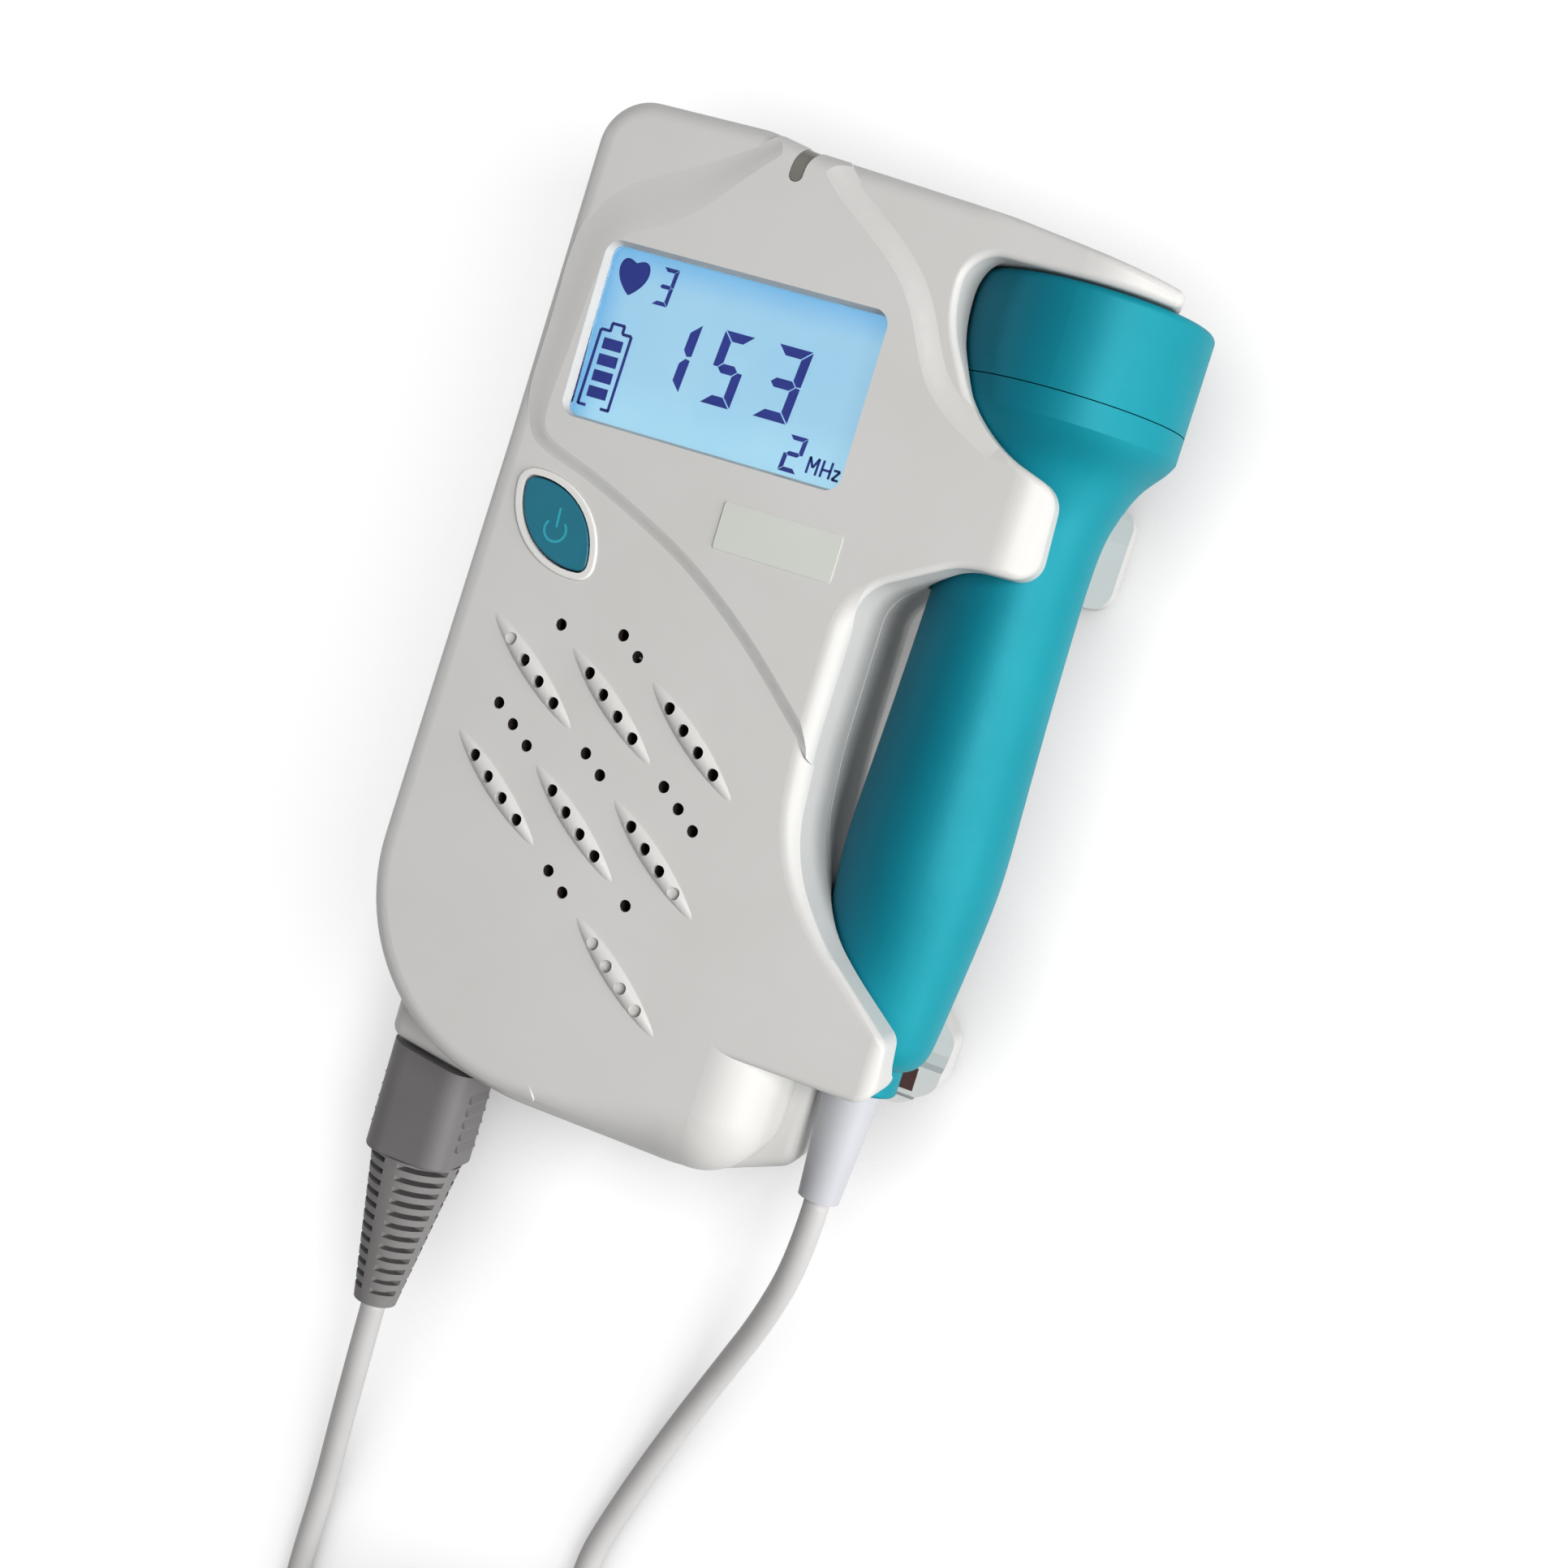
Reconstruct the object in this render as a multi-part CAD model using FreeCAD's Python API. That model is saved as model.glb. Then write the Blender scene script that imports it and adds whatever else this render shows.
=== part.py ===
"""Fetal doppler monitor: a handheld case with a holder for its probe, lying on its back.

Frame: +X is the probe side, +Y the top end, +Z out of the front face.  The origin is the
middle of the flat back of the case body.  All sizes are in millimetres.
"""
import FreeCAD, Part
import math
import os

V = FreeCAD.Vector
PLUS_X = V(1, 0, 0)
PLUS_Y = V(0, 1, 0)
PLUS_Z = V(0, 0, 1)

# ---------------------------------------------------------------- driving dimensions
# case
case_depth = 35.0            # back face to the raised band of the front face
band_height = 0.8            # the raised band over the rest of the front face
parting_z = 18.0             # height of the line between front and rear shell
wall = 2.2
case_top = 67.6
left_top_x = -25.9           # the left side leans out a little towards the bottom
left_mid_x = -26.7
left_mid_y = 20.0
left_low_x = -29.2
front_bottom = -68.1
top_corner = 7.0
low_corner = 28.0
edge_round = 1.0             # rounding of the front edges on the probe's side and in its holder
soft_round = 2.8             # rounding of the front edges along the left side and the top
back_round = 2.0             # rounding of the back edges
seam_bevel = 0.2             # bevel on both shells where they meet
top_dip = 1.4                # step down of the top edge beside the indicator
dip_start_x = -2.5
dip_end_x = 5.0
arm_root_x = 39.0            # where the wide part of the upper arm ends
arm_root_y = 63.3
arm_tip_x = 56.2
arm_tip_y = 61.2
arm_lean = 0.25              # the arm's tip leans back, in X for each Z
arm_lean_z = 27.0            # from this height down
socket_x = 28.9              # left rim of the socket for the probe's head
socket_top = 58.9
socket_low = 50.1
jaw_slope_x = 36.8
jaw_slope_y = 36.4
jaw_right = 49.5             # front finger over the probe's neck
jaw_top = 32.2
jaw_low = 19.9
jaw_crown = 7.0              # radius of the finger's end, as it curves back
recess_x = 28.3              # wall of the finger recess beside the handle
recess_slope_x = 40.0        # the recess's upper end slopes up to the finger
recess_slope_drop = 6.9
recess_bend = -9.0
lower_bend_x = 29.6          # the recess's lower end turns outwards
lower_bend_y = -23.5
lower_slope_x = 37.2
lower_slope_y = -33.0
lower_jaw_right = 50.0
lower_jaw_top = -42.9
lower_jaw_low = -51.8
lower_crown = 3.0
bulge_right = 35.8           # front shell below the lower jaw
bulge_bottom = -70.2
bulge_round = 9.0
rear_finger_right = 55.8     # rear fingers reach further than the front ones
rear_tip_right = 54.1
rear_bottom = -73.5
rear_left = -25.9
rear_left_y = -70.5          # the lower end is cut back towards its two corners
rear_right = 39.0
rear_right_y = -67.4
rear_shoulder = 2.0          # rounding between the parting line and the rear end
rear_back_round = 2.0

# probe
probe_x = 43.7
probe_z = 17.2
probe_top = 58.6
head_r = 16.4
head_low = 41.0
head_round = 1.0
face_rim = 3.8               # width of the cap's rim round the face
seam_y = 44.5
neck_r = 10.2
handle_r = 11.2
tail_r = 6.0
tail_top = -49.0
tail_low = -53.2
sleeve_r = 4.15
sleeve_end_r = 3.0
sleeve_low = -70.3
probe_wall = 2.2
pocket_gap = 0.4             # room between the probe and its holder
cavity_low = -49.0           # lower end of the main hollow
crystal_t = 0.75
backing_t = 5.25
probe_board_low = -34.0
probe_board_high = 24.0
probe_face_t = 2.4
probe_lip_t = 3.0            # of the cap, round the face

# screen, from the pane down to the circuit board
screen_x = 0.95
screen_y = 36.15
screen_w = 40.2
screen_h = 23.6
screen_bevel = 0.4
screen_depth = 1.8           # window surface below the raised band
pane_lip = 0.7               # the pane stands this far proud of its flange
flange_t = 0.7
flange_w = 2.1               # the flange reaches this far past the pane
lcd_margin = 1.5
lcd_t = 2.0
light_t = 2.6
board_t = 1.6
stack_gap = 0.1

# button, grille and label
button_x = -15.7
button_y = 9.4
button_length = 15.6
button_width = 8.0
button_tip = 1.2
button_angle = -41.0
button_rim_w = 1.2           # the pale ring round the button
button_rim_height = 0.35
button_rim_sunk = 1.0
rim_gap = 0.03
button_flange = 1.1
button_travel = 0.8
rib_length = 19.4
rib_width = 3.0
rib_height = 0.95
rib_sunk = 0.6
rib_angle = -38.0
rib_pitch = 3.6
first_rib_x = -12.95
first_rib_y = -10.75
rib_step_x = 12.4
rib_step_drop = 1.17
rib_row_drop = 16.9
rib_row_shift = -0.42
grille_hole_r = 0.88
plain_hole_r = 0.85
label_x = 15.6
label_y = 15.7
label_w = 17.0
label_h = 6.4
label_t = 0.2
rear_label_x = -2.0
rear_label_y = 32.0
rear_label_w = 38.0
rear_label_h = 26.0
rear_label_t = 0.25

# indicator
indicator_x = 3.4
indicator_drop = 5.2         # its inner end below the case's top
indicator_w = 1.9

# loudspeaker
speaker_x = -1.0
speaker_y = -24.5
speaker_r = 20.0
speaker_gap = 0.7            # from the magnet to the roof of the battery bay
magnet_r = 10.5
magnet_t = 4.5
cone_lift = 2.9              # foot of the cone over the magnet
basket_window = 6.0
basket_rim_t = 1.3
cloth_t = 0.3
cloth_gap = 0.1

# battery bay and door
bay_x = 5.5
bay_top = -8.5
cell_r = 7.15
cell_length = 49.0
cell_nub = 1.4
cell_gap = 0.9
spring_room = 6.8
contact_t = 0.3
bay_wall = 1.5
bay_roof_t = 1.3
door_side = 2.2              # the door reaches this far past the bay on each side
door_over = 4.0              # and past its upper end
door_t = 1.5
door_lip = 0.9
door_sink = 0.15
slide_gap = 0.25

# top controls
wheel_x = -12.0
wheel_z = 10.0
wheel_r = 7.5
wheel_t = 3.2
wheel_out = 1.5              # how far it stands out of the top end
wheel_notches = 30
shaft_r = 1.5
shaft_gap = 0.05
jack_x = 9.0
jack_z = 10.0
jack_nose_r = 3.0
jack_bore_r = 1.8
jack_bore_length = 12.0

# screws
boss_r = 3.0
screw_r = 1.25
screw_head_r = 2.4
screw_head_t = 2.0
screw_sink = 4.2
screw_bite = 8.0             # thread in the front shell
post_r = 1.8

# plug and its socket
plug_x = -18.7
plug_z = 11.0
plug_r = 7.0                 # half the width of the plug's rounded square section
plug_corner = 3.9
boot_turn = -8.0             # the boot's spines stand turned about the plug's axis, in degrees
plug_seat_gap = 0.5
plug_length = 17.5
plug_well = 3.0              # the insert stands in a well of this depth
plug_ridges = 5
first_ridge = 5.0            # below the plug's top
ridge_pitch = 1.95
ridge_height = 0.45
ridge_span = 6.4             # along the plug's flat sides
socket_r = 5.6
socket_length = 17.2
insert_r = 4.2
insert_length = 11.6
pin_circle_r = 2.9
pin_r = 0.4
boot_r = 7.0
boot_end_r = 3.3
boot_length = 24.0
boot_slots = 12
boot_slot_w = 0.85
boot_collar = 0.35           # solid rings before the first and after the last slot
boot_end_collar = 1.05
boot_core = 0.6              # share of the radius left solid inside the slots

# cord and its coil
cord_r = 1.9
coil_x = 10.0
coil_y = -186.0
coil_r = 22.5                # to the middle of the turns
coil_columns = 3
coil_layers = 3
strap_t = 0.8
strap_w = 6.0

# ---------------------------------------------------------------- worked-out levels and places
high_z = case_depth
low_z = case_depth - band_height
inside_z = low_z - wall
pane_top = high_z - screen_depth
flange_top = pane_top - pane_lip
lcd_top = flange_top - flange_t - stack_gap
light_top = lcd_top - lcd_t - stack_gap
board_top = light_top - light_t - stack_gap
board_under = board_top - board_t
indicator_y = case_top - indicator_drop
bay_w = 4 * cell_r + 2 * cell_gap
bay_low = bay_top - cell_length - cell_nub - spring_room - 2 * contact_t - 0.2
bay_x0 = bay_x - bay_w / 2
bay_x1 = bay_x + bay_w / 2
cell_z = door_sink + door_t + 0.4 + cell_r
bay_ceiling = cell_z + cell_r + 0.25
bay_roof = bay_ceiling + bay_roof_t
door_w = bay_w + 2 * door_side
door_top = bay_top + door_over
wheel_y = case_top - wheel_r + wheel_out
wheel_low = wheel_z - wheel_t / 2
wheel_high = wheel_z + wheel_t / 2
jack_face = case_top - top_dip - 0.4
boss_places = [(left_top_x + 4.9, case_top - 12.6), (recess_x - 8.3, case_top - 12.6),
               (left_low_x + 6.4, speaker_y - 9.5), (recess_x + 2.0, lower_jaw_top - 4.5)]
post_places = [(left_top_x + 4.4, button_y + 9.2), (recess_x - 6.4, button_y + 4.9),
               (left_top_x + 18.9, case_top - 11.0), (recess_x - 16.9, case_top - 11.0)]
plug_top = rear_left_y - 0.2
plug_end = plug_top - plug_length
boot_end = plug_end - boot_length
coil_out = coil_r + cord_r * coil_columns
coil_in = coil_r - cord_r * coil_columns
coil_base = strap_t + 0.05
coil_height = 2 * cord_r * coil_layers
floor_line = cord_r + 0.05


# ---------------------------------------------------------------- helpers
def box(x0, x1, y0, y1, z0, z1):
    return Part.makeBox(x1 - x0, y1 - y0, z1 - z0, V(x0, y0, z0))


def plate(cx, cy, w, h, z0, z1):
    return box(cx - w / 2, cx + w / 2, cy - h / 2, cy + h / 2, z0, z1)


def outline(corners, z):
    """A face from corners (x, y, radius) joined by straight lines, each corner rounded."""
    starts = []
    ends = []
    middles = []
    count = len(corners)
    for i in range(count):
        x, y, r = corners[i]
        here = V(x, y, z)
        before = V(corners[i - 1][0], corners[i - 1][1], z).sub(here)
        after = V(corners[(i + 1) % count][0], corners[(i + 1) % count][1], z).sub(here)
        before.normalize()
        after.normalize()
        half = before.getAngle(after) / 2
        reach = r / math.tan(half)
        middle = before.add(after)
        middle.normalize()
        starts.append(here.add(V(before).multiply(reach)))
        ends.append(here.add(V(after).multiply(reach)))
        middles.append(here.add(middle.multiply(r / math.sin(half) - r)))
    edges = []
    for i in range(count):
        if corners[i][2] > 0:
            edges.append(Part.Arc(starts[i], middles[i], ends[i]).toShape())
        following = starts[(i + 1) % count]
        if ends[i].distanceToPoint(following) > 1e-6:
            edges.append(Part.LineSegment(ends[i], following).toShape())
    return Part.Face(Part.Wire(edges))


def rounded_plate(cx, cy, w, h, r, z0, z1):
    corners = [(cx - w / 2, cy - h / 2, r), (cx + w / 2, cy - h / 2, r),
               (cx + w / 2, cy + h / 2, r), (cx - w / 2, cy + h / 2, r)]
    return outline(corners, z0).extrude(V(0, 0, z1 - z0))


def edges_at(shape, z):
    """The edges of a prism that lie in the plane at height z."""
    found = []
    for edge in shape.Edges:
        box_z = edge.BoundBox
        if abs(box_z.ZMin - z) < 1e-5 and abs(box_z.ZMax - z) < 1e-5:
            found.append(edge)
    return found


def round_edges(shape, z, r):
    return shape.makeFillet(r, edges_at(shape, z))


def upper_edges(shape, low, z_from):
    """The edges round the front surface: above z_from, and neither upright nor at the height low."""
    found = []
    for edge in shape.Edges:
        span = edge.BoundBox
        upright = span.XLength < 1e-4 and span.YLength < 1e-4
        if span.ZMax > z_from and span.ZMin > low + 1e-4 and not upright:
            found.append(edge)
    return found


def bevel_seam(shape):
    """Bevel the outer edges at the parting line."""
    outer = [e for e in edges_at(shape, parting_z) if e.BoundBox.XMax > 31.5 or e.BoundBox.XMin < 30.5]
    return shape.makeChamfer(seam_bevel, outer)


def prism(corners, z0, z1, round_z=None, r=0.0):
    solid = outline(corners, z0).extrude(V(0, 0, z1 - z0))
    if round_z is None:
        return solid
    return round_edges(solid, round_z, r)


def cylinder_y(x, z, r, y0, y1):
    return Part.makeCylinder(r, y1 - y0, V(x, y0, z), PLUS_Y)


def cylinder_z(x, y, r, z0, z1):
    return Part.makeCylinder(r, z1 - z0, V(x, y, z0), PLUS_Z)


def ring_z(x, y, r_out, r_in, z0, z1):
    return cylinder_z(x, y, r_out, z0, z1).cut(cylinder_z(x, y, r_in, z0 - 1, z1 + 1))


def cone_y(x, z, r_start, r_end, y_start, length):
    """A cone whose axis runs towards -Y."""
    return Part.makeCone(r_start, r_end, length, V(x, y_start, z), V(0, -1, 0))


def turn_profile(points, x, z):
    """Turn a profile of (radius, y) corners about the line through (x, z) along Y."""
    ring = [V(x + r, y, z) for r, y in points]
    ring.append(ring[0])
    face = Part.Face(Part.makePolygon(ring))
    return face.revolve(V(x, 0, z), PLUS_Y, 360)


def leaf_outline(cx, cy, length, width, angle, z):
    """A pointed leaf of two arcs."""
    a = math.radians(angle)
    along = V(math.cos(a), math.sin(a), 0)
    across = V(-math.sin(a), math.cos(a), 0)
    centre = V(cx, cy, z)
    tip_a = centre.sub(V(along).multiply(length / 2))
    tip_b = centre.add(V(along).multiply(length / 2))
    side_a = centre.add(V(across).multiply(width / 2))
    side_b = centre.sub(V(across).multiply(width / 2))
    upper = Part.Arc(tip_a, side_a, tip_b).toShape()
    lower = Part.Arc(tip_b, side_b, tip_a).toShape()
    return Part.Face(Part.Wire([upper, lower]))


def rounded_leaf(cx, cy, length, width, tip_r, angle, z):
    """A leaf whose two tips are rounded, like the button and its rim."""
    leaf = leaf_outline(cx, cy, length, width, angle, z).extrude(V(0, 0, 1))
    upright = [e for e in leaf.Edges if e.BoundBox.ZLength > 0.5]
    leaf = leaf.makeFillet(tip_r, upright)
    flat = [f for f in leaf.Faces if abs(f.BoundBox.ZMax - z) < 1e-6]
    return flat[0]


def fuse_all(shapes):
    if len(shapes) == 1:
        return shapes[0]
    return shapes[0].multiFuse(shapes[1:]).removeSplitter()


def cut_all(shape, tools):
    return shape.cut(Part.makeCompound(tools))


def cord_path(points):
    """Straight runs joined by tangent arcs, each as large as its two runs allow."""
    here = [V(*p) for p in points]
    edges = []
    radii = []
    last = here[0]
    for i in range(1, len(here) - 1):
        before = here[i - 1].sub(here[i])
        after = here[i + 1].sub(here[i])
        reach = 0.45 * min(before.Length, after.Length)
        before.normalize()
        after.normalize()
        half = before.getAngle(after) / 2
        r = reach * math.tan(half)
        middle = before.add(after)
        middle.normalize()
        start = here[i].add(V(before).multiply(reach))
        end = here[i].add(V(after).multiply(reach))
        crown = here[i].add(middle.multiply(r / math.sin(half) - r))
        edges.append(Part.LineSegment(last, start).toShape())
        edges.append(Part.Arc(start, crown, end).toShape())
        radii.append(r)
        last = end
    edges.append(Part.LineSegment(last, here[-1]).toShape())
    return Part.Wire(edges), radii


def cord_tube(name, points, r):
    path, radii = cord_path(points)
    heading = V(*points[1]).sub(V(*points[0]))
    section = Part.Wire(Part.makeCircle(r, V(*points[0]), heading))
    tube = path.makePipeShell([section], True, True)
    wanted = math.pi * r * r * path.Length
    print(name, "length %.1f" % path.Length, "volume ratio %.4f" % (tube.Volume / wanted))
    print("  arc radii", " ".join("%.0f" % value for value in radii))
    return tube


# ---------------------------------------------------------------- probe form
def probe_profile(extra):
    """(radius, y) corners of the probe from its end face to its cable sleeve."""
    flare = [(neck_r + 5.3, 39.4), (neck_r + 3.4, 37.0), (neck_r + 1.5, 33.0), (neck_r + 0.5, 29.5)]
    grip = [(neck_r, 24.0), (neck_r, 16.0), (neck_r + 0.4, 0.0), (handle_r - 0.2, -11.0),
            (handle_r, -21.0), (handle_r - 0.7, -31.0), (handle_r - 1.6, -40.0),
            (handle_r - 2.1, -44.4), (handle_r - 2.7, -46.9), (handle_r - 3.8, -48.4)]
    body = [(head_r, probe_top), (head_r, head_low)] + flare + grip
    grown = [(r + extra, y) for r, y in body]
    return grown


def smooth_handle(shrink):
    """Handle of the probe as one smooth turned form, from the seam to the tail."""
    points = probe_profile(-shrink)[2:]
    low = tail_top + shrink
    curve = Part.BSplineCurve()
    start = V(probe_x + head_r - shrink, head_low, probe_z)
    route = [V(probe_x + r, y, probe_z) for r, y in points if y > low]
    end = V(probe_x + tail_r - shrink * 0.5, low, probe_z)
    curve.interpolate([start] + route + [end])
    edges = [Part.LineSegment(V(probe_x, seam_y, probe_z), V(probe_x + head_r - shrink, seam_y, probe_z)),
             Part.LineSegment(V(probe_x + head_r - shrink, seam_y, probe_z), start),
             curve,
             Part.LineSegment(end, V(probe_x, low, probe_z)),
             Part.LineSegment(V(probe_x, low, probe_z), V(probe_x, seam_y, probe_z))]
    face = Part.Face(Part.Wire([edge.toShape() for edge in edges]))
    return face.revolve(V(probe_x, 0, probe_z), PLUS_Y, 360)


def probe_pocket():
    """The room that the probe needs in the case, swept along +X, the way it comes out."""
    side = probe_profile(pocket_gap)
    side[0] = (side[0][0], socket_top)
    side = side + [(tail_r + 0.5, tail_top), (tail_r + 0.5, tail_low - 0.3),
                   (sleeve_r + 0.5, tail_low - 0.3), (sleeve_r + 0.5, tail_low - 8.0)]
    around = [(0.0, socket_top)] + side + [(0.0, tail_low - 8.0)]
    turned = turn_profile(around, probe_x, probe_z)
    upper = [V(probe_x, y, probe_z + r) for r, y in side]
    lower = [V(probe_x, y, probe_z - r) for r, y in reversed(side)]
    ring = upper + lower
    ring.append(ring[0])
    swept = Part.Face(Part.makePolygon(ring)).extrude(V(40, 0, 0))
    return [turned, swept]


# ---------------------------------------------------------------- case form
left_side = (left_mid_x, left_mid_y, 250.0)
top_corners = [(left_top_x, case_top, top_corner),
               (dip_start_x, case_top, 12.0),
               (dip_end_x, case_top - top_dip, 20.0),
               (33.0, arm_root_y + 0.9, 60.0)]
socket_corners = [(socket_x, socket_top, 4.4),
                  (socket_x, socket_low, 16.0),
                  (jaw_slope_x, jaw_slope_y, 19.5)]
recess_corners = [(recess_slope_x, jaw_low - 0.3, 10.0),
                  (recess_x, jaw_low - recess_slope_drop, 6.5)]
waist_corners = [(recess_x, recess_bend, 60.0),
                 (lower_bend_x, lower_bend_y, 24.0),
                 (lower_slope_x, lower_slope_y, 24.0)]
front_corners = top_corners + [(arm_tip_x, arm_tip_y, edge_round + 0.12),
                               (arm_tip_x, socket_top, edge_round + 0.12)]
front_corners += socket_corners + [(jaw_right - 0.5, jaw_top, 3.6),
                                   (jaw_right, jaw_low, 3.2)]
front_corners += recess_corners + waist_corners + [(lower_jaw_right - 0.6, lower_jaw_top, 2.6),
                                  (lower_jaw_right, lower_jaw_low, 3.0),
                                  (4.6, lower_jaw_low - 0.4, 1.3),
                                  (4.6, front_bottom, 1.2),
                                  (left_low_x, front_bottom, low_corner),
                                  left_side]
rear_corners = top_corners + [(arm_root_x, arm_root_y, back_round + 0.1),
                              (arm_root_x, socket_top, back_round + 0.1)]
rear_corners += socket_corners + [(rear_finger_right, jaw_top + 1.8, 3.0),
                                  (rear_finger_right, jaw_low - 0.3, 3.0)]
rear_corners += recess_corners + waist_corners + [(rear_tip_right - 3.9, lower_jaw_top + 2.3, 2.0),
                                 (rear_tip_right, lower_jaw_top - 1.7, 2.5),
                                 (rear_tip_right - 0.2, lower_jaw_low, 3.0),
                                 (rear_tip_right - 4.6, lower_jaw_low - 3.0, 4.0),
                                 (8.0, lower_jaw_low - 3.8, 2.2),
                                 (8.0, front_bottom, 2.2),
                                 (left_low_x, front_bottom, low_corner),
                                 left_side]


def crown(x, z, r, y0, y1):
    """What is taken off a finger's end so that its face curves back round (x, z) with radius r."""
    corner = box(x, x + 2 * r + 6, y0, y1, z - 0.5, z + r + 6)
    return corner.cut(cylinder_y(x, z, r, y0 - 1, y1 + 1))


def lean_cut():
    """The wedge beyond the leaning end of the upper arm."""
    low_x = arm_tip_x - arm_lean * (arm_lean_z + 1)
    lean = [V(arm_tip_x, 50, arm_lean_z), V(arm_tip_x + 10, 50, arm_lean_z),
            V(arm_tip_x + 10, 50, -1), V(low_x, 50, -1)]
    lean.append(lean[0])
    return Part.Face(Part.makePolygon(lean)).extrude(V(0, 20, 0))


def front_block(top_z, region=None):
    """The front shell's outer form up to top_z: crisp round the holder, soft everywhere else."""
    block = outline(front_corners, parting_z).extrude(V(0, 0, top_z - parting_z))
    block = block.cut(crown(probe_x, probe_z, top_z - probe_z, socket_top - 0.5, case_top))
    block = block.cut(crown(jaw_right - 6.2, top_z - jaw_crown, jaw_crown, jaw_low - 1, socket_top - 15))
    block = block.cut(crown(lower_jaw_right - 2.6, top_z - lower_crown, lower_crown,
                            lower_jaw_low - 1, lower_jaw_top + 8))
    block = block.makeFillet(edge_round, upper_edges(block, parting_z, probe_z + jaw_crown))
    if region is not None:
        block = block.common(region)
    past = 0.03
    soft = [(left_top_x - past, case_top + past, top_corner + past), (dip_start_x, case_top + past, 12.0),
            (dip_end_x, case_top - top_dip + past, 20.0), (26.0, case_top - top_dip - 0.9, 60.0),
            (80.0, case_top, 5.0), (80.0, jaw_low - 4.0, 5.0),
            (recess_x + past, jaw_low - recess_slope_drop, 6.5), (recess_x + past, recess_bend, 60.0),
            (lower_bend_x + past, lower_bend_y, 24.0), (lower_slope_x + 1.2, lower_slope_y + 0.6, 24.0),
            (70.0, lower_slope_y - 23.6, 3.0), (70.0, front_bottom - past, 3.0),
            (left_low_x - past, front_bottom - past, low_corner + past),
            (left_mid_x - past, left_mid_y, 250.0)]
    return block.common(prism(soft, parting_z - 1, top_z, top_z, soft_round))


def rear_arm():
    """The rear half of the upper arm: narrow, and round with the probe's head."""
    corners = [(31.0, arm_root_y + 1.1, 0.0), (arm_tip_x, arm_tip_y, edge_round + 0.12),
               (arm_tip_x, socket_top, edge_round + 0.12), (31.0, socket_top, 0.0)]
    block = outline(corners, 0.0).extrude(V(0, 0, parting_z))
    hollow_side = box(probe_x, arm_tip_x + 10, 50, 70, -1, probe_z)
    block = block.cut(hollow_side.cut(cylinder_y(probe_x, probe_z, probe_z, 49, 71)))
    long_edges = [e for e in block.Edges if e.BoundBox.ZMax < probe_z - 5 and e.BoundBox.XMax > 32.0
                  and e.BoundBox.XLength + e.BoundBox.YLength > 1e-4]
    return block.makeFillet(edge_round, long_edges).cut(lean_cut())


band_steps = [(-0.06, 1.35), (0.02, 1.0), (0.16, 0.6), (0.5, 0.0), (0.84, -0.6), (0.98, -1.0), (1.06, -1.35)]


def step_line(points, share, z):
    """A smooth line beside the points (x, y, spread), moved sideways by a share of each spread."""
    moved = []
    last = len(points) - 1
    for k, (x, y, spread) in enumerate(points):
        ahead = points[min(k + 1, last)]
        behind = points[max(k - 1, 0)]
        along = V(ahead[0] - behind[0], ahead[1] - behind[1], 0)
        along.normalize()
        moved.append(V(x - along.y * spread * share, y + along.x * spread * share, z))
    line = Part.BSplineCurve()
    line.interpolate(moved)
    return line.toShape(), moved[0], moved[-1]


def band_prism():
    """The raised band across the front, whose sides slope down in a soft S."""
    left = [(31.0, -12.0, 0.8), (25.2, -6.6, 0.8), (20.8, -2.7, 0.8), (15.1, 2.1, 0.8), (9.0, 6.5, 0.8),
            (3.1, 10.1, 0.8), (-2.7, 12.9, 0.8), (-8.3, 15.3, 0.8), (-13.9, 17.4, 0.8), (-18.6, 18.9, 0.9),
            (-21.6, 20.6, 1.1), (-22.8, 24.0, 1.4), (-22.7, 31.0, 1.7), (-22.3, 39.0, 1.9),
            (-21.7, 46.0, 2.3), (-19.6, 51.0, 2.8), (-15.0, 54.2, 3.2), (-9.6, 57.5, 2.8),
            (-5.8, 60.5, 2.0), (-2.0, 63.7, 1.4), (0.9, 66.3, 1.1), (2.4, 69.5, 0.9)]
    right = [(6.0, 69.5, 1.4), (8.2, 64.8, 1.4), (13.8, 60.1, 1.4), (19.3, 56.2, 1.4), (23.0, 52.7, 1.4),
             (25.5, 49.1, 1.4), (27.5, 45.3, 1.4), (30.0, 41.4, 1.4), (33.7, 38.3, 1.4), (40.0, 35.0, 1.4)]
    wires = []
    for height, share in band_steps:
        level = low_z + band_height * height
        edge_a, start_a, end_a = step_line(left, share, level)
        edge_b, start_b, end_b = step_line(right, share, level)
        far_top = V(70, end_b.y, level)
        far_low = V(70, start_a.y, level)
        joins = [(end_a, start_b), (end_b, far_top), (far_top, far_low), (far_low, start_a)]
        lines = [Part.LineSegment(a, b).toShape() for a, b in joins]
        wires.append(Part.Wire([edge_a, lines[0], edge_b, lines[1], lines[2], lines[3]]))
    slopes = Part.makeLoft(wires, True, False)
    below = Part.Face(wires[0]).extrude(V(0, 0, parting_z + seam_bevel - wires[0].BoundBox.ZMin))
    return fuse_all([slopes, below])


def bulge_block():
    """Lower right part of the front shell, its rounding growing towards the jaw."""
    corners = [(3.0, lower_jaw_low + 6.0, 0.0), (bulge_right, lower_jaw_low + 6.0, 0.0),
               (bulge_right, bulge_bottom, bulge_round + 0.3), (24.0, bulge_bottom, 20.0),
               (3.0, front_bottom + 0.2, 0.0)]
    block = outline(corners, parting_z).extrude(V(0, 0, low_z - parting_z))
    bottom = [e for e in edges_at(block, low_z)
              if e.BoundBox.YMax < front_bottom + 0.21]
    return block.makeFillet(bulge_round, soft_round, bottom)


def front_outer():
    low = bevel_seam(front_block(low_z))
    band = front_block(high_z, band_prism())
    return fuse_all([low, band, bevel_seam(bulge_block())]).cut(lean_cut())


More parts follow.
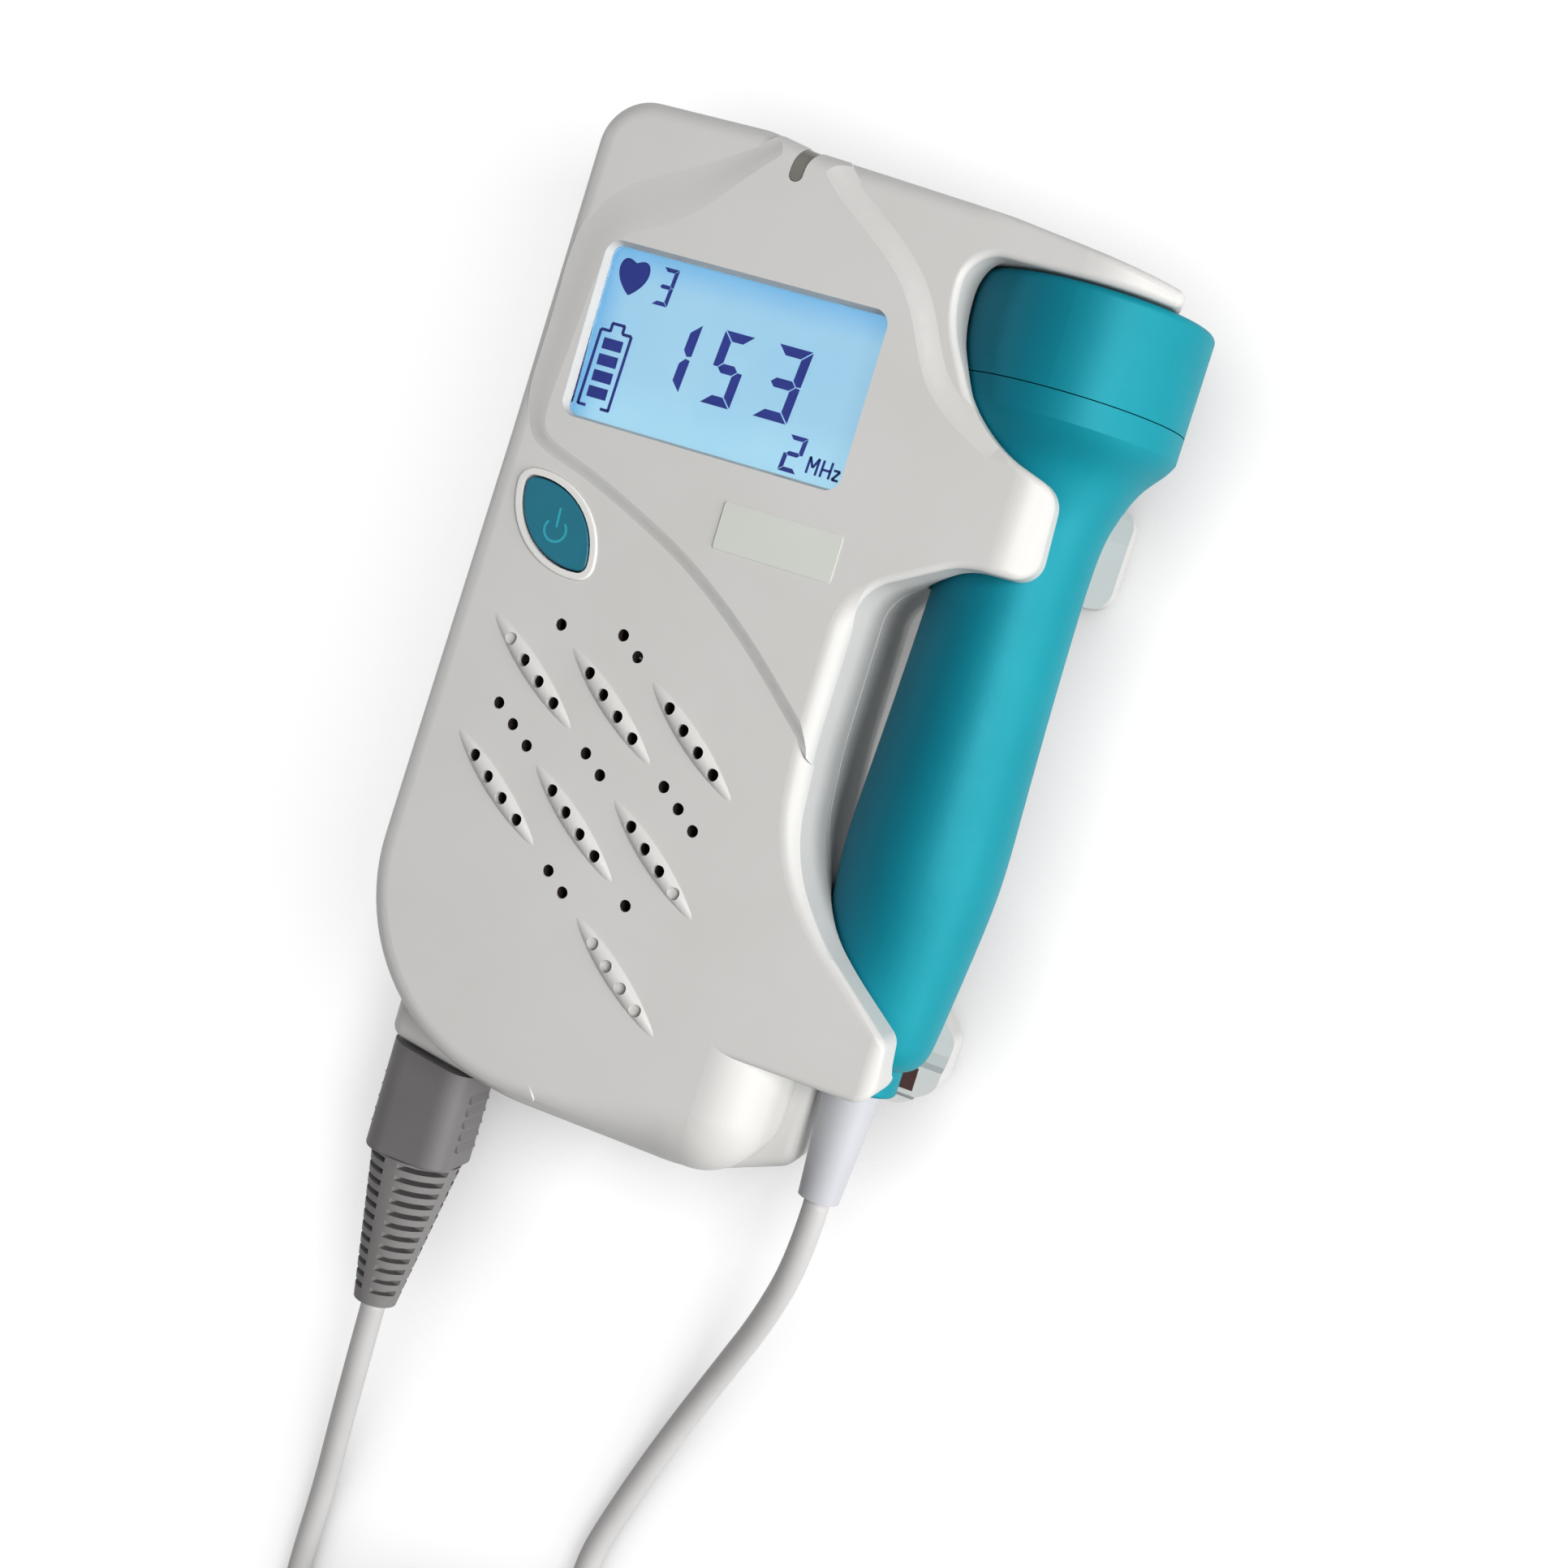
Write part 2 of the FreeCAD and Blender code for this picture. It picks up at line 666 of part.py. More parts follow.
def rear_end_corners(inset):
    return [(rear_left + inset, -46.0, 3.0), (rear_left + inset, rear_left_y + inset * 1.1, 2.2),
            (-5.0, rear_bottom + inset, 30.0), (24.5, rear_bottom + inset, 20.0),
            (rear_right - inset, rear_right_y + inset, 3.0), (rear_right - inset, -46.0, 3.0)]


def rear_outer():
    main = bevel_seam(prism(rear_corners, 0.0, parting_z, 0.0, back_round))
    arm = bevel_seam(rear_arm())
    end = outline(rear_end_corners(0.0), 0.0).extrude(V(0, 0, parting_z))
    end = end.makeFillet(rear_shoulder, edges_at(end, parting_z))
    end = end.makeFillet(rear_back_round, edges_at(end, 0.0))
    return fuse_all([main, arm, end])


def cavity_corners(right_x, bottom_y):
    return [(left_top_x + wall, case_top - wall, top_corner - wall),
            (dip_start_x, case_top - wall, 10.0),
            (dip_end_x, case_top - top_dip - wall, 20.0),
            (right_x, arm_root_y - wall + 1.0, 3.0),
            (right_x, bottom_y, 3.0),
            (left_low_x + wall, bottom_y, low_corner - wall),
            (left_mid_x + wall, left_mid_y, 250.0)]


# ---------------------------------------------------------------- button, grille and slot
def button_prism(grow, z0, z1):
    """The power button's leaf form, grown by a margin, from z0 to z1."""
    face = rounded_leaf(button_x, button_y, button_length + 2.6 * grow, button_width + 2 * grow,
                        button_tip + grow, button_angle, z0)
    return face.extrude(V(0, 0, z1 - z0))


def button_rim():
    """The pale ring let into the face round the power button."""
    rim_top = low_z + button_rim_height
    ring = button_prism(button_rim_w, low_z - button_rim_sunk, rim_top)
    ring = ring.makeFillet(button_rim_height * 0.9, edges_at(ring, rim_top))
    return ring.cut(button_prism(slide_gap, low_z - button_rim_sunk - 1, rim_top + 1))


def along_rib(x, y, distance):
    a = math.radians(rib_angle)
    return x + distance * math.cos(a), y + distance * math.sin(a)


def rib_centres():
    centres = []
    for row, columns in ((0, (0, 1, 2)), (1, (0, 1, 2)), (2, (2,))):
        for column in columns:
            x = first_rib_x + rib_step_x * column + rib_row_shift * row
            y = first_rib_y - rib_step_drop * column - rib_row_drop * row
            centres.append((x, y))
    return centres


def grille_rib(cx, cy):
    """A leaf-shaped rib: a spindle half sunk in the face."""
    crown = rib_height + rib_sunk
    reach = rib_length / 2 / math.sqrt(1 - rib_sunk / crown)
    stations = [k / 4 for k in range(-4, 5)]
    curve = Part.BSplineCurve()
    curve.interpolate([V(reach * t, crown * (1 - t * t), 0) for t in stations])
    chord = Part.LineSegment(V(reach, 0, 0), V(-reach, 0, 0))
    face = Part.Face(Part.Wire([curve.toShape(), chord.toShape()]))
    spindle = face.revolve(V(0, 0, 0), PLUS_X, 360)
    stretch = FreeCAD.Matrix()
    stretch.scale(1.0, rib_width / 2 / math.sqrt(crown ** 2 - rib_sunk ** 2), 1.0)
    spindle = spindle.transformGeometry(stretch)
    spindle.rotate(V(0, 0, 0), PLUS_Z, rib_angle)
    spindle.translate(V(cx, cy, low_z - rib_sunk))
    return spindle


def grille_holes():
    """Holes of the loudspeaker grille; the ones past the loudspeaker's edge are blind."""
    holes = []
    through_z = inside_z - 1
    blind_z = low_z - 0.3
    for index, (cx, cy) in enumerate(rib_centres()):
        for k in range(4):
            x, y = along_rib(cx, cy, rib_pitch * (k - 1.5))
            blind = index == 6 or (index == 0 and k == 0) or (index == 5 and k == 3)
            holes.append(cylinder_z(x, y, grille_hole_r, blind_z if blind else through_z, high_z + 2))
    plain = [(-10.9, -3.5, 1), (-1.8, -2.3, 2), (-16.5, -16.4, 3), (-2.2, -19.2, 2),
             (9.9, -20.1, 3), (-2.6, -36.2, 2), (9.5, -37.2, 1)]
    for start_x, start_y, count in plain:
        for k in range(count):
            x, y = along_rib(start_x, start_y, rib_pitch * k)
            holes.append(cylinder_z(x, y, plain_hole_r, through_z, high_z + 2))
    return holes


def indicator_slot(grow, z0, z1):
    """The curved slot of the status light, which runs over the top edge."""
    r = indicator_w / 2 + grow
    start = V(indicator_x, indicator_y, z0)
    middle = V(indicator_x + 0.35, indicator_y + 2.2, z0)
    far = V(indicator_x + 1.5, indicator_y + 4.3, z0)
    turn = Part.Arc(start, middle, far).toShape().Curve
    ring = ring_z(turn.Center.x, turn.Center.y, turn.Radius + r, turn.Radius - r, z0, z1)
    stretch = box(indicator_x - 4, indicator_x + 6, indicator_y, indicator_y + 9, z0, z1)
    return ring.common(stretch).fuse(cylinder_z(indicator_x, indicator_y, r, z0, z1))


def screen_wire(grow, r, z):
    """Outline of the screen opening, grown by a margin."""
    half_w = screen_w / 2 + grow
    half_h = screen_h / 2 + grow
    corners = [(screen_x - half_w, screen_y - half_h, r), (screen_x + half_w, screen_y - half_h, r),
               (screen_x + half_w, screen_y + half_h, r), (screen_x - half_w, screen_y + half_h, r)]
    return outline(corners, z).OuterWire


def screen_tools():
    """The opening, its bevelled edge and the room behind it for the pane's flange."""
    opening = Part.Face(screen_wire(0.0, 1.4, inside_z)).extrude(V(0, 0, case_depth))
    bevel = Part.makeLoft([screen_wire(0.0, 1.4, pane_top), screen_wire(screen_bevel, 2.2, high_z + 0.02)],
                          True, True)
    room = Part.Face(screen_wire(flange_w + 0.5, 2.0, inside_z - 1))
    room = room.extrude(V(0, 0, flange_top - inside_z + 1))
    return [opening, bevel, room]


# ---------------------------------------------------------------- the two shells
def front_case():
    ribs = [grille_rib(cx, cy) for cx, cy in rib_centres()]
    shell = fuse_all([front_outer()] + ribs)
    inner_right = recess_x - wall
    hollow = prism(cavity_corners(inner_right, cavity_low), parting_z - 1, inside_z)
    low_hollow = rounded_plate(inner_right - 11.5, front_bottom + 11.0, 36.0, 22.0 - 2 * wall, 5.0,
                               parting_z - 1, low_z - 8.2)
    tools = probe_pocket() + grille_holes() + screen_tools() + [hollow, low_hollow]
    tools += [button_prism(slide_gap, inside_z - 1, high_z + 2)]
    tools += [button_prism(button_rim_w + rim_gap, low_z - button_rim_sunk - rim_gap, high_z + 2)]
    tools += [indicator_slot(0.05, board_top, high_z + 1)]
    shell = cut_all(shell, tools)
    inner = [cylinder_z(x, y, boss_r, parting_z, inside_z + 0.5) for x, y in boss_places[:3]]
    inner += [cylinder_z(x, y, post_r, board_top, inside_z + 0.5) for x, y in post_places]
    inner += [ring_z(speaker_x, speaker_y, speaker_r + 1.5, speaker_r + 0.2, inside_z - 3, inside_z + 0.5)]
    shell = fuse_all([shell] + inner)
    pilots = [cylinder_z(x, y, screw_r, parting_z - 1, parting_z + screw_bite + 1) for x, y in boss_places]
    return cut_all(shell, pilots)


def rear_case():
    inner_right = recess_x - wall
    hollow = prism(cavity_corners(inner_right, cavity_low), wall, parting_z + 1)
    end_hollow = outline(rear_end_corners(wall), wall + 0.4).extrude(V(0, 0, parting_z - 2 * wall))
    shell = cut_all(rear_outer(), [hollow, end_hollow] + probe_pocket())
    floor_z = wall - 0.5
    inner = [box(bay_x0 - bay_wall, bay_x1 + bay_wall, bay_low - bay_wall, bay_top + bay_wall,
                 floor_z, bay_roof)]
    inner += [cylinder_z(x, y, boss_r, floor_z, parting_z) for x, y in boss_places[:3]]
    cradle = cylinder_y(plug_x, plug_z, socket_r + 2.1, rear_left_y + 1.5, rear_left_y + 16.0)
    inner += [cradle.common(box(-40, 0, -90, -40, floor_z, parting_z - 1.5))]
    inner += [box(plug_x - 5, plug_x + 5, rear_left_y + 2, rear_left_y + 13.5, floor_z, plug_z)]
    inner += [box(jack_x - 3, jack_x + 3, jack_face - 12.5, jack_face - 4, floor_z, jack_z - jack_body_h / 2)]
    shell = fuse_all([shell] + inner)
    tools = [box(bay_x0, bay_x1, bay_low, bay_top, -1, bay_ceiling), door_channel()]
    tools += [rounded_plate(rear_label_x, rear_label_y, rear_label_w + 0.6, rear_label_h + 0.6,
                            1.8, -1, rear_label_t + 0.1)]
    tools += [cylinder_y(plug_x, plug_z, socket_r + 0.05, rear_bottom - 1, rear_left_y + socket_length + 1)]
    tools += [cylinder_y(jack_x, jack_z, jack_nose_r + 0.05, case_top - 6, case_top + 1)]
    tools += [cylinder_z(wheel_x, wheel_y, wheel_r + 0.5, wheel_low - 0.5, wheel_high + 0.5)]
    tools += [cylinder_z(x, y, screw_r + 0.25, -1, parting_z + 1) for x, y in boss_places]
    tools += [cylinder_z(x, y, screw_head_r + 0.4, -1, screw_sink) for x, y in boss_places]
    tools += [tail_pad_block(0.0, 1.0)]
    return cut_all(shell, tools)


def door_body(gap):
    """The door's plate and the two lips that run in grooves; gap makes room round it."""
    half = door_w / 2 + gap
    plate_low = -1 if gap > 0 else door_sink
    door_back = door_sink + door_t + gap
    lip_z = door_sink + door_t * 0.45 - gap
    body = box(bay_x - half, bay_x + half, rear_bottom - 5, door_top + gap, plate_low, door_back)
    lips = box(bay_x - half - door_lip, bay_x + half + door_lip, rear_bottom - 5, door_top + gap,
               lip_z, door_back)
    return body.fuse(lips)


def door_channel():
    return door_body(slide_gap)


def battery_door():
    door = door_body(0.0).common(rear_outer())
    grips = []
    for k in range(6):
        y = rear_bottom + 8.0 + 2.2 * k
        grips.append(box(bay_x - 9, bay_x + 9, y, y + 0.9, -1, door_sink + 0.5))
    return cut_all(door, grips)


def tail_pad_block(shrink, rise):
    """A pad let into the lower rear finger, under the probe's tail."""
    pad_top = probe_z - tail_r - pocket_gap - 0.1
    return plate(probe_x + 3.5, (tail_top + tail_low) / 2, 7.0 - 2 * shrink, 3.4 - 2 * shrink,
                 pad_top - 0.5, pad_top + rise)


def case_screws():
    """Four self-tapping screws with cross recesses."""
    screws = []
    for x, y in boss_places:
        head = cylinder_z(x, y, screw_head_r, screw_sink - screw_head_t, screw_sink)
        head = head.makeFillet(0.6, edges_at(head, screw_sink - screw_head_t))
        shank = cylinder_z(x, y, screw_r - 0.05, screw_sink, parting_z + screw_bite)
        slot_z = screw_sink - screw_head_t + 1.0
        cross = plate(x, y, 2.8, 0.6, 0, slot_z).fuse(plate(x, y, 0.6, 2.8, 0, slot_z))
        screws.append(head.fuse(shank).cut(cross))
    return Part.makeCompound(screws)


# ---------------------------------------------------------------- screen stack and board
def screen_window():
    pane = Part.Face(screen_wire(-0.1, 1.3, flange_top)).extrude(V(0, 0, pane_lip))
    flange = Part.Face(screen_wire(flange_w, 1.6, flange_top - flange_t)).extrude(V(0, 0, flange_t))
    return pane.fuse(flange).removeSplitter()


def lcd_layer(top, thickness):
    return plate(screen_x, screen_y, screen_w + 2 * lcd_margin, screen_h + 2 * lcd_margin,
                 top - thickness, top)


def lcd_frame():
    outer = Part.Face(screen_wire(lcd_margin + 1.0, 2.2, light_top - light_t)).extrude(
        V(0, 0, lcd_top - light_top + light_t))
    inner = plate(screen_x, screen_y, screen_w + 2 * lcd_margin + 0.2, screen_h + 2 * lcd_margin + 0.2,
                  board_top, high_z)
    return outer.cut(inner)


board_gap = 1.0              # from the board to the case's walls
board_left = left_top_x + wall + board_gap - 0.4
board_right = recess_x - wall - board_gap - 0.1
board_low = speaker_y + speaker_r + 2 * board_gap
board_high = case_top - wall - board_gap
chip_w = 10.0
chip_t = 2.0


def main_board():
    far_top = board_high - top_dip - 1.4
    board = prism([(board_left, board_high, 2.0), (dip_start_x - 0.5, board_high, 4.0),
                   (dip_end_x - 0.4, board_high - top_dip - 0.2, 4.0), (board_right, far_top, 2.0),
                   (board_right, board_low, 2.0), (board_left, board_low, 2.0)], board_under, board_top)
    return cut_all(board, [cylinder_z(x, y, boss_r + 0.4, board_under - 1, board_top + 1)
                           for x, y in boss_places[:2]])


def board_chips():
    """Chips by their place along the board's width and length, and their size in typical chips."""
    places = [(0.28, 0.70, 1.2, 1.2, 1.1), (0.67, 0.74, 0.9, 0.9, 0.8), (0.76, 0.49, 0.7, 1.0, 1.0),
              (0.21, 0.40, 0.8, 0.5, 0.8), (0.51, 0.22, 1.0, 1.0, 1.0), (0.80, 0.19, 0.5, 0.8, 1.5),
              (0.18, 0.10, 0.6, 0.6, 1.2), (0.55, 0.54, 0.4, 1.1, 0.6)]
    chips = []
    for across, along, w, h, t in places:
        x = board_left + (board_right - board_left) * across
        y = board_low + (board_high - board_low) * along
        chips.append(plate(x, y, chip_w * w, chip_w * h, board_under - chip_t * t, board_under))
    return Part.makeCompound(chips)


# ---------------------------------------------------------------- loudspeaker
speaker_front = inside_z - cloth_t - 2 * cloth_gap
speaker_back = bay_roof + speaker_gap
basket_floor = speaker_back + magnet_t
basket_edge = speaker_front - basket_rim_t


def speaker_frame():
    """The pressed basket: a flat rim, a conical side with windows and a floor."""
    rise = basket_edge - basket_floor - 0.8
    rim = ring_z(speaker_x, speaker_y, speaker_r, speaker_r - 2.4, basket_edge, speaker_front)
    foot = V(speaker_x, speaker_y, basket_floor + 0.8)
    side = Part.makeCone(speaker_r - 8.0, speaker_r - 1.0, rise, foot)
    inner = Part.makeCone(speaker_r - 9.2, speaker_r - 2.2, rise, foot)
    floor = ring_z(speaker_x, speaker_y, speaker_r - 8.0, magnet_r / 2, basket_floor, basket_floor + 1.2)
    windows = []
    for k in range(4):
        a = math.radians(45 + 90 * k)
        reach = speaker_r * 0.7
        windows.append(plate(speaker_x + reach * math.cos(a), speaker_y + reach * math.sin(a),
                             basket_window, basket_window, basket_floor + 1.8, basket_edge - 1.2))
    return cut_all(fuse_all([rim, side.cut(inner), floor]), windows)


def speaker_cone():
    """The paper cone with its dome, turned from one thin section."""
    edge = basket_edge
    low = basket_floor + cone_lift
    r = speaker_r - 2.9
    section = [(magnet_r / 2, low), (r - 2.8, edge - 0.6), (r, edge - 0.3), (r, edge),
               (r - 3.0, edge - 0.2), (magnet_r / 2, low + 0.5), (0, low + 1.6), (0, low + 1.1)]
    ring = [V(speaker_x + x, speaker_y, z) for x, z in section]
    ring.append(ring[0])
    return Part.Face(Part.makePolygon(ring)).revolve(V(speaker_x, speaker_y, 0), PLUS_Z, 360)


def speaker_magnet():
    body = cylinder_z(speaker_x, speaker_y, magnet_r, speaker_back, basket_floor)
    return body.makeFillet(0.6, edges_at(body, speaker_back) + edges_at(body, basket_floor))


def grille_cloth():
    return cylinder_z(speaker_x, speaker_y, speaker_r - 0.4, speaker_front + cloth_gap,
                      speaker_front + cloth_gap + cloth_t)


# ---------------------------------------------------------------- controls
button_flange_top = inside_z - slide_gap
button_foot = board_top + 2.4


def power_button():
    top = low_z + 0.1
    cap = button_prism(0.0, button_flange_top, top)
    cap = cap.makeFillet(0.35, edges_at(cap, top))
    flange = button_prism(button_flange, button_flange_top - 0.7, button_flange_top)
    stem = cylinder_z(button_x, button_y, 1.4, button_foot, button_flange_top - 0.7)
    return fuse_all([cap, flange, stem])


def power_switch():
    body = plate(button_x, button_y, 6.2, 6.2, board_top, board_top + 1.0)
    nub = cylinder_z(button_x, button_y, 1.6, board_top + 1.0, button_foot - button_travel - 0.2)
    return body.fuse(nub)


def volume_wheel():
    disc = cylinder_z(wheel_x, wheel_y, wheel_r, wheel_low, wheel_high)
    disc = disc.makeFillet(0.5, edges_at(disc, wheel_low) + edges_at(disc, wheel_high))
    tools = [cylinder_z(wheel_x, wheel_y, shaft_r + shaft_gap, wheel_low - 1, wheel_high + 1)]
    for k in range(wheel_notches):
        a = 2 * math.pi * k / wheel_notches
        tools.append(cylinder_z(wheel_x + (wheel_r + 0.15) * math.cos(a),
                                wheel_y + (wheel_r + 0.15) * math.sin(a), 0.4,
                                wheel_low - 1, wheel_high + 1))
    return cut_all(disc, tools)


def volume_pot():
    body = plate(wheel_x, wheel_y - 2.0, 11, 10, wall, wheel_low - 0.8)
    collar = cylinder_z(wheel_x, wheel_y, shaft_r + 1.1, wheel_low - 0.8, wheel_low - 0.3)
    shaft = cylinder_z(wheel_x, wheel_y, shaft_r, wall + 1, wheel_high + 1.0)
    return fuse_all([body, collar, shaft])


jack_body_h = 6.8


def earphone_jack():
    half = jack_body_h / 2
    body = box(jack_x - 4, jack_x + 4, jack_face - 14.0, jack_face - 2.6, jack_z - half, jack_z + half)
    nose = cylinder_y(jack_x, jack_z, jack_nose_r, jack_face - 3.0, jack_face)
    bore = cylinder_y(jack_x, jack_z, jack_bore_r, jack_face - jack_bore_length, jack_face + 1)
    return body.fuse(nose).cut(bore)


def indicator_lens():
    """Fills the slot to just under the case's own rounded surface."""
    under_surface = front_outer()
    under_surface.translate(V(0, -0.12, -0.12))
    return indicator_slot(-0.05, board_top + 2.2, high_z + 1).common(under_surface)


def indicator_led():
    foot = plate(indicator_x, indicator_y, 3.0, 2.0, board_top, board_top + 0.6)
    return foot.fuse(plate(indicator_x, indicator_y, 2.2, 1.6, board_top + 0.6, board_top + 1.6))


def label_plate():
    return rounded_plate(label_x, label_y, label_w, label_h, 0.4, high_z, high_z + label_t)


def rear_label():
    return rounded_plate(rear_label_x, rear_label_y, rear_label_w, rear_label_h, 1.5,
                         0.1, 0.1 + rear_label_t)


# ---------------------------------------------------------------- batteries
def cell_x(side):
    return bay_x + side * (cell_r + cell_gap / 2)


def cell_span(side):
    """Where a cell's body starts and ends along Y; its nub always meets a contact plate."""
    if side < 0:
        end = bay_top - contact_t - 0.1 - cell_nub
        return end - cell_length, end
    start = bay_low + contact_t + 0.1 + cell_nub
    return start, start + cell_length


def battery(side):
    x = cell_x(side)
    low, high = cell_span(side)
    body = cylinder_y(x, cell_z, cell_r, low, high)
    body = body.makeFillet(0.8, [e for e in body.Edges if e.BoundBox.YLength < 1e-6])
    nub_y = high if side < 0 else low - cell_nub
    return body.fuse(cylinder_y(x, cell_z, 2.6, nub_y, nub_y + cell_nub))


def contact_springs():
    """Two conical coil springs, each one turned solid with a waved outside."""
    springs = []
    for side in (-1, 1):
        low, high = cell_span(side)
        tip = low - 0.05 if side < 0 else high + 0.05
        foot = bay_low + contact_t + 0.05 if side < 0 else bay_top - contact_t - 0.05
        turns = 5
        outside = [(0.0, tip)]
        for k in range(2 * turns + 1):
            t = k / (2 * turns)
            wave = 0.0 if k % 2 else -0.8
            outside.append((3.0 + 1.6 * t + wave, tip + (foot - tip) * t))
        outside.append((0.0, foot))
        springs.append(turn_profile(outside, cell_x(side), cell_z))
    return Part.makeCompound(springs)


def contact_plates():
    plates = []
    for side in (-1, 1):
        for y in (bay_low + 0.02, bay_top - contact_t - 0.02):
            plates.append(box(cell_x(side) - 5, cell_x(side) + 5, y, y + contact_t, cell_z - 5, cell_z + 5))
    return Part.makeCompound(plates)


# ---------------------------------------------------------------- probe
probe_inner_r = head_r - probe_wall
mouth_r = head_r - face_rim
face_back = probe_top - probe_face_t
crystal_back = face_back - 0.05 - crystal_t
backing_front = crystal_back - 0.05


def probe_handle():
    outer = smooth_handle(0.0)
    tools = [smooth_handle(probe_wall),
             cylinder_y(probe_x, probe_z, probe_inner_r, seam_y - 1.0, seam_y + 1),
             cylinder_y(probe_x, probe_z, 3.4, tail_top - 2, tail_top + 6)]
    return cut_all(outer, tools)


def probe_cap():
    body = cylinder_y(probe_x, probe_z, head_r, seam_y + 0.15, probe_top)
    body = body.makeFillet(head_round, [e for e in body.Edges if e.BoundBox.YMin > probe_top - 1e-5])
    inner = cylinder_y(probe_x, probe_z, probe_inner_r, seam_y - 1, probe_top - probe_lip_t)
    mouth = cylinder_y(probe_x, probe_z, mouth_r, probe_top - probe_lip_t - 1, probe_top + 1)
    return cut_all(body, [inner, mouth])


def acoustic_face():
    return cylinder_y(probe_x, probe_z, mouth_r - 0.1, face_back, probe_top - 0.25)


def crystals():
    """Two half-moon crystals, one to send and one to listen."""
    disc = cylinder_y(probe_x, probe_z, mouth_r - 2.1, crystal_back, face_back - 0.05)
    gap = plate(probe_x, face_back, 2 * head_r, 4, probe_z - 0.4, probe_z + 0.4)
    return disc.cut(gap)


def crystal_backing():
    disc = cylinder_y(probe_x, probe_z, probe_inner_r - 0.1, backing_front - backing_t, backing_front)
    return disc.makeFillet(0.5, [e for e in disc.Edges if e.BoundBox.YLength < 1e-6])


def probe_seal():
    return Part.makeTorus(probe_inner_r - 0.9, 0.8, V(probe_x, seam_y, probe_z), PLUS_Y)


def probe_board():
    half = neck_r - probe_wall - 0.3
    return box(probe_x - half, probe_x + half, probe_board_low, probe_board_high,
               probe_z - board_t / 2, probe_z + board_t / 2)


def probe_tail():
    body = cylinder_y(probe_x, probe_z, tail_r, tail_low, tail_top - 0.01)
    body = body.makeFillet(0.6, [e for e in body.Edges if e.BoundBox.YMax < tail_low + 1e-5])
    return body.cut(cylinder_y(probe_x, probe_z, 3.1, tail_low - 1, tail_top + 1))


def cable_sleeve():
    top = tail_low - 0.01
    sleeve = cone_y(probe_x, probe_z, sleeve_r, sleeve_end_r, top, top - sleeve_low)
    return sleeve.fuse(cylinder_y(probe_x, probe_z, 3.0, tail_low - 0.5, tail_top + 4.0))


# ---------------------------------------------------------------- plug
well_y = plug_top - plug_well
insert_end = well_y + insert_length


def probe_socket():
    """A round socket with a deep well and an insulated core that the pins meet."""
    inner_end = rear_left_y + 0.2 + socket_length
    body = cylinder_y(plug_x, plug_z, socket_r, rear_left_y + 0.2, inner_end)
    well = cylinder_y(plug_x, plug_z, insert_r + slide_gap, rear_bottom - 1, insert_end + 2.5)
    core = cylinder_y(plug_x, plug_z, 2.2, insert_end - 1.5, insert_end + 3)
    return body.cut(well).fuse(core)


def plug_sleeve():
    tube = cylinder_y(plug_x, plug_z, insert_r, well_y, insert_end)
    return tube.cut(cylinder_y(plug_x, plug_z, insert_r - 0.6, well_y - 1, insert_end + 1))


def plug_pins():
    pins = []
    for k in range(6):
        a = 2 * math.pi * k / 6
        x = plug_x + pin_circle_r * math.cos(a)
        z = plug_z + pin_circle_r * math.sin(a)
        pins.append(cylinder_y(x, z, pin_r, well_y, insert_end - 2.5))
    return Part.makeCompound(pins)


def plug_ridge(y):
    """A wedge across the plug that stands out on its two flat sides only."""
    wedge = [V(plug_x - plug_r + 0.1, y, 0), V(plug_x + plug_r - 0.1, y, 0),
             V(plug_x + plug_r + ridge_height, y - ridge_pitch + 0.4, 0),
             V(plug_x - plug_r - ridge_height, y - ridge_pitch + 0.4, 0)]
    wedge.append(wedge[0])
    ridge = Part.Face(Part.makePolygon(wedge)).extrude(V(0, 0, ridge_span))
    ridge.translate(V(0, 0, plug_z - ridge_span / 2))
    return ridge


def plug_shell():
    """The plug's body, its top cut to follow the case's end, with grip ridges on both sides."""
    body = rounded_plate(0, 0, 2 * plug_r, 2 * plug_r, plug_corner, 0, plug_length)
    body = body.makeFillet(0.5, edges_at(body, 0) + edges_at(body, plug_length))
    body.rotate(V(0, 0, 0), V(1, 0, 0), 90)
    body.translate(V(plug_x, plug_top, plug_z))
    ridges = [plug_ridge(plug_top - first_ridge - ridge_pitch * k) for k in range(plug_ridges)]
    shell = fuse_all([body] + ridges)
    beyond = [V(-60, rear_bottom + 20, -5), V(-60, rear_left_y - plug_seat_gap, -5),
              V(rear_left, rear_left_y - plug_seat_gap, -5), V(-5.0, rear_bottom - plug_seat_gap, -5),
              V(-5.0, rear_bottom + 20, -5)]
    beyond.append(beyond[0])
    room = Part.Face(Part.makePolygon(beyond)).extrude(V(0, 0, 40))
    return cut_all(shell, [room, cylinder_y(plug_x, plug_z, insert_r + 0.02, well_y - 0.02, plug_top + 1)])


def plug_boot():
    """A tapered boot with four spines and rows of slots between them, so that it bends."""
    top = plug_end - 0.01
    boot = cone_y(plug_x, plug_z, boot_r, boot_end_r, top, boot_length - 0.01)
    pitch = (boot_length - boot_collar - boot_end_collar) / boot_slots
    slots = []
    for k in range(boot_slots):
        y = plug_end - boot_collar - pitch * k
        t = (plug_end - y) / boot_length
        core = (boot_r + (boot_end_r - boot_r) * t) * boot_core
        cut = cylinder_y(plug_x, plug_z, boot_r + 1, y - boot_slot_w, y)
        spine = 2.3 - 0.9 * t
        upright = plate(plug_x, y, spine, 4, plug_z - 20, plug_z + 20)
        level = plate(plug_x, y, 40, 4, plug_z - spine / 2, plug_z + spine / 2)
        solid_core = cylinder_y(plug_x, plug_z, core, y - 2, y + 1)
        slots.append(cut_all(cut, [upright, level, solid_core]))
    boot = cut_all(boot, slots)
    boot.rotate(V(plug_x, 0, plug_z), PLUS_Y, boot_turn)
    return boot


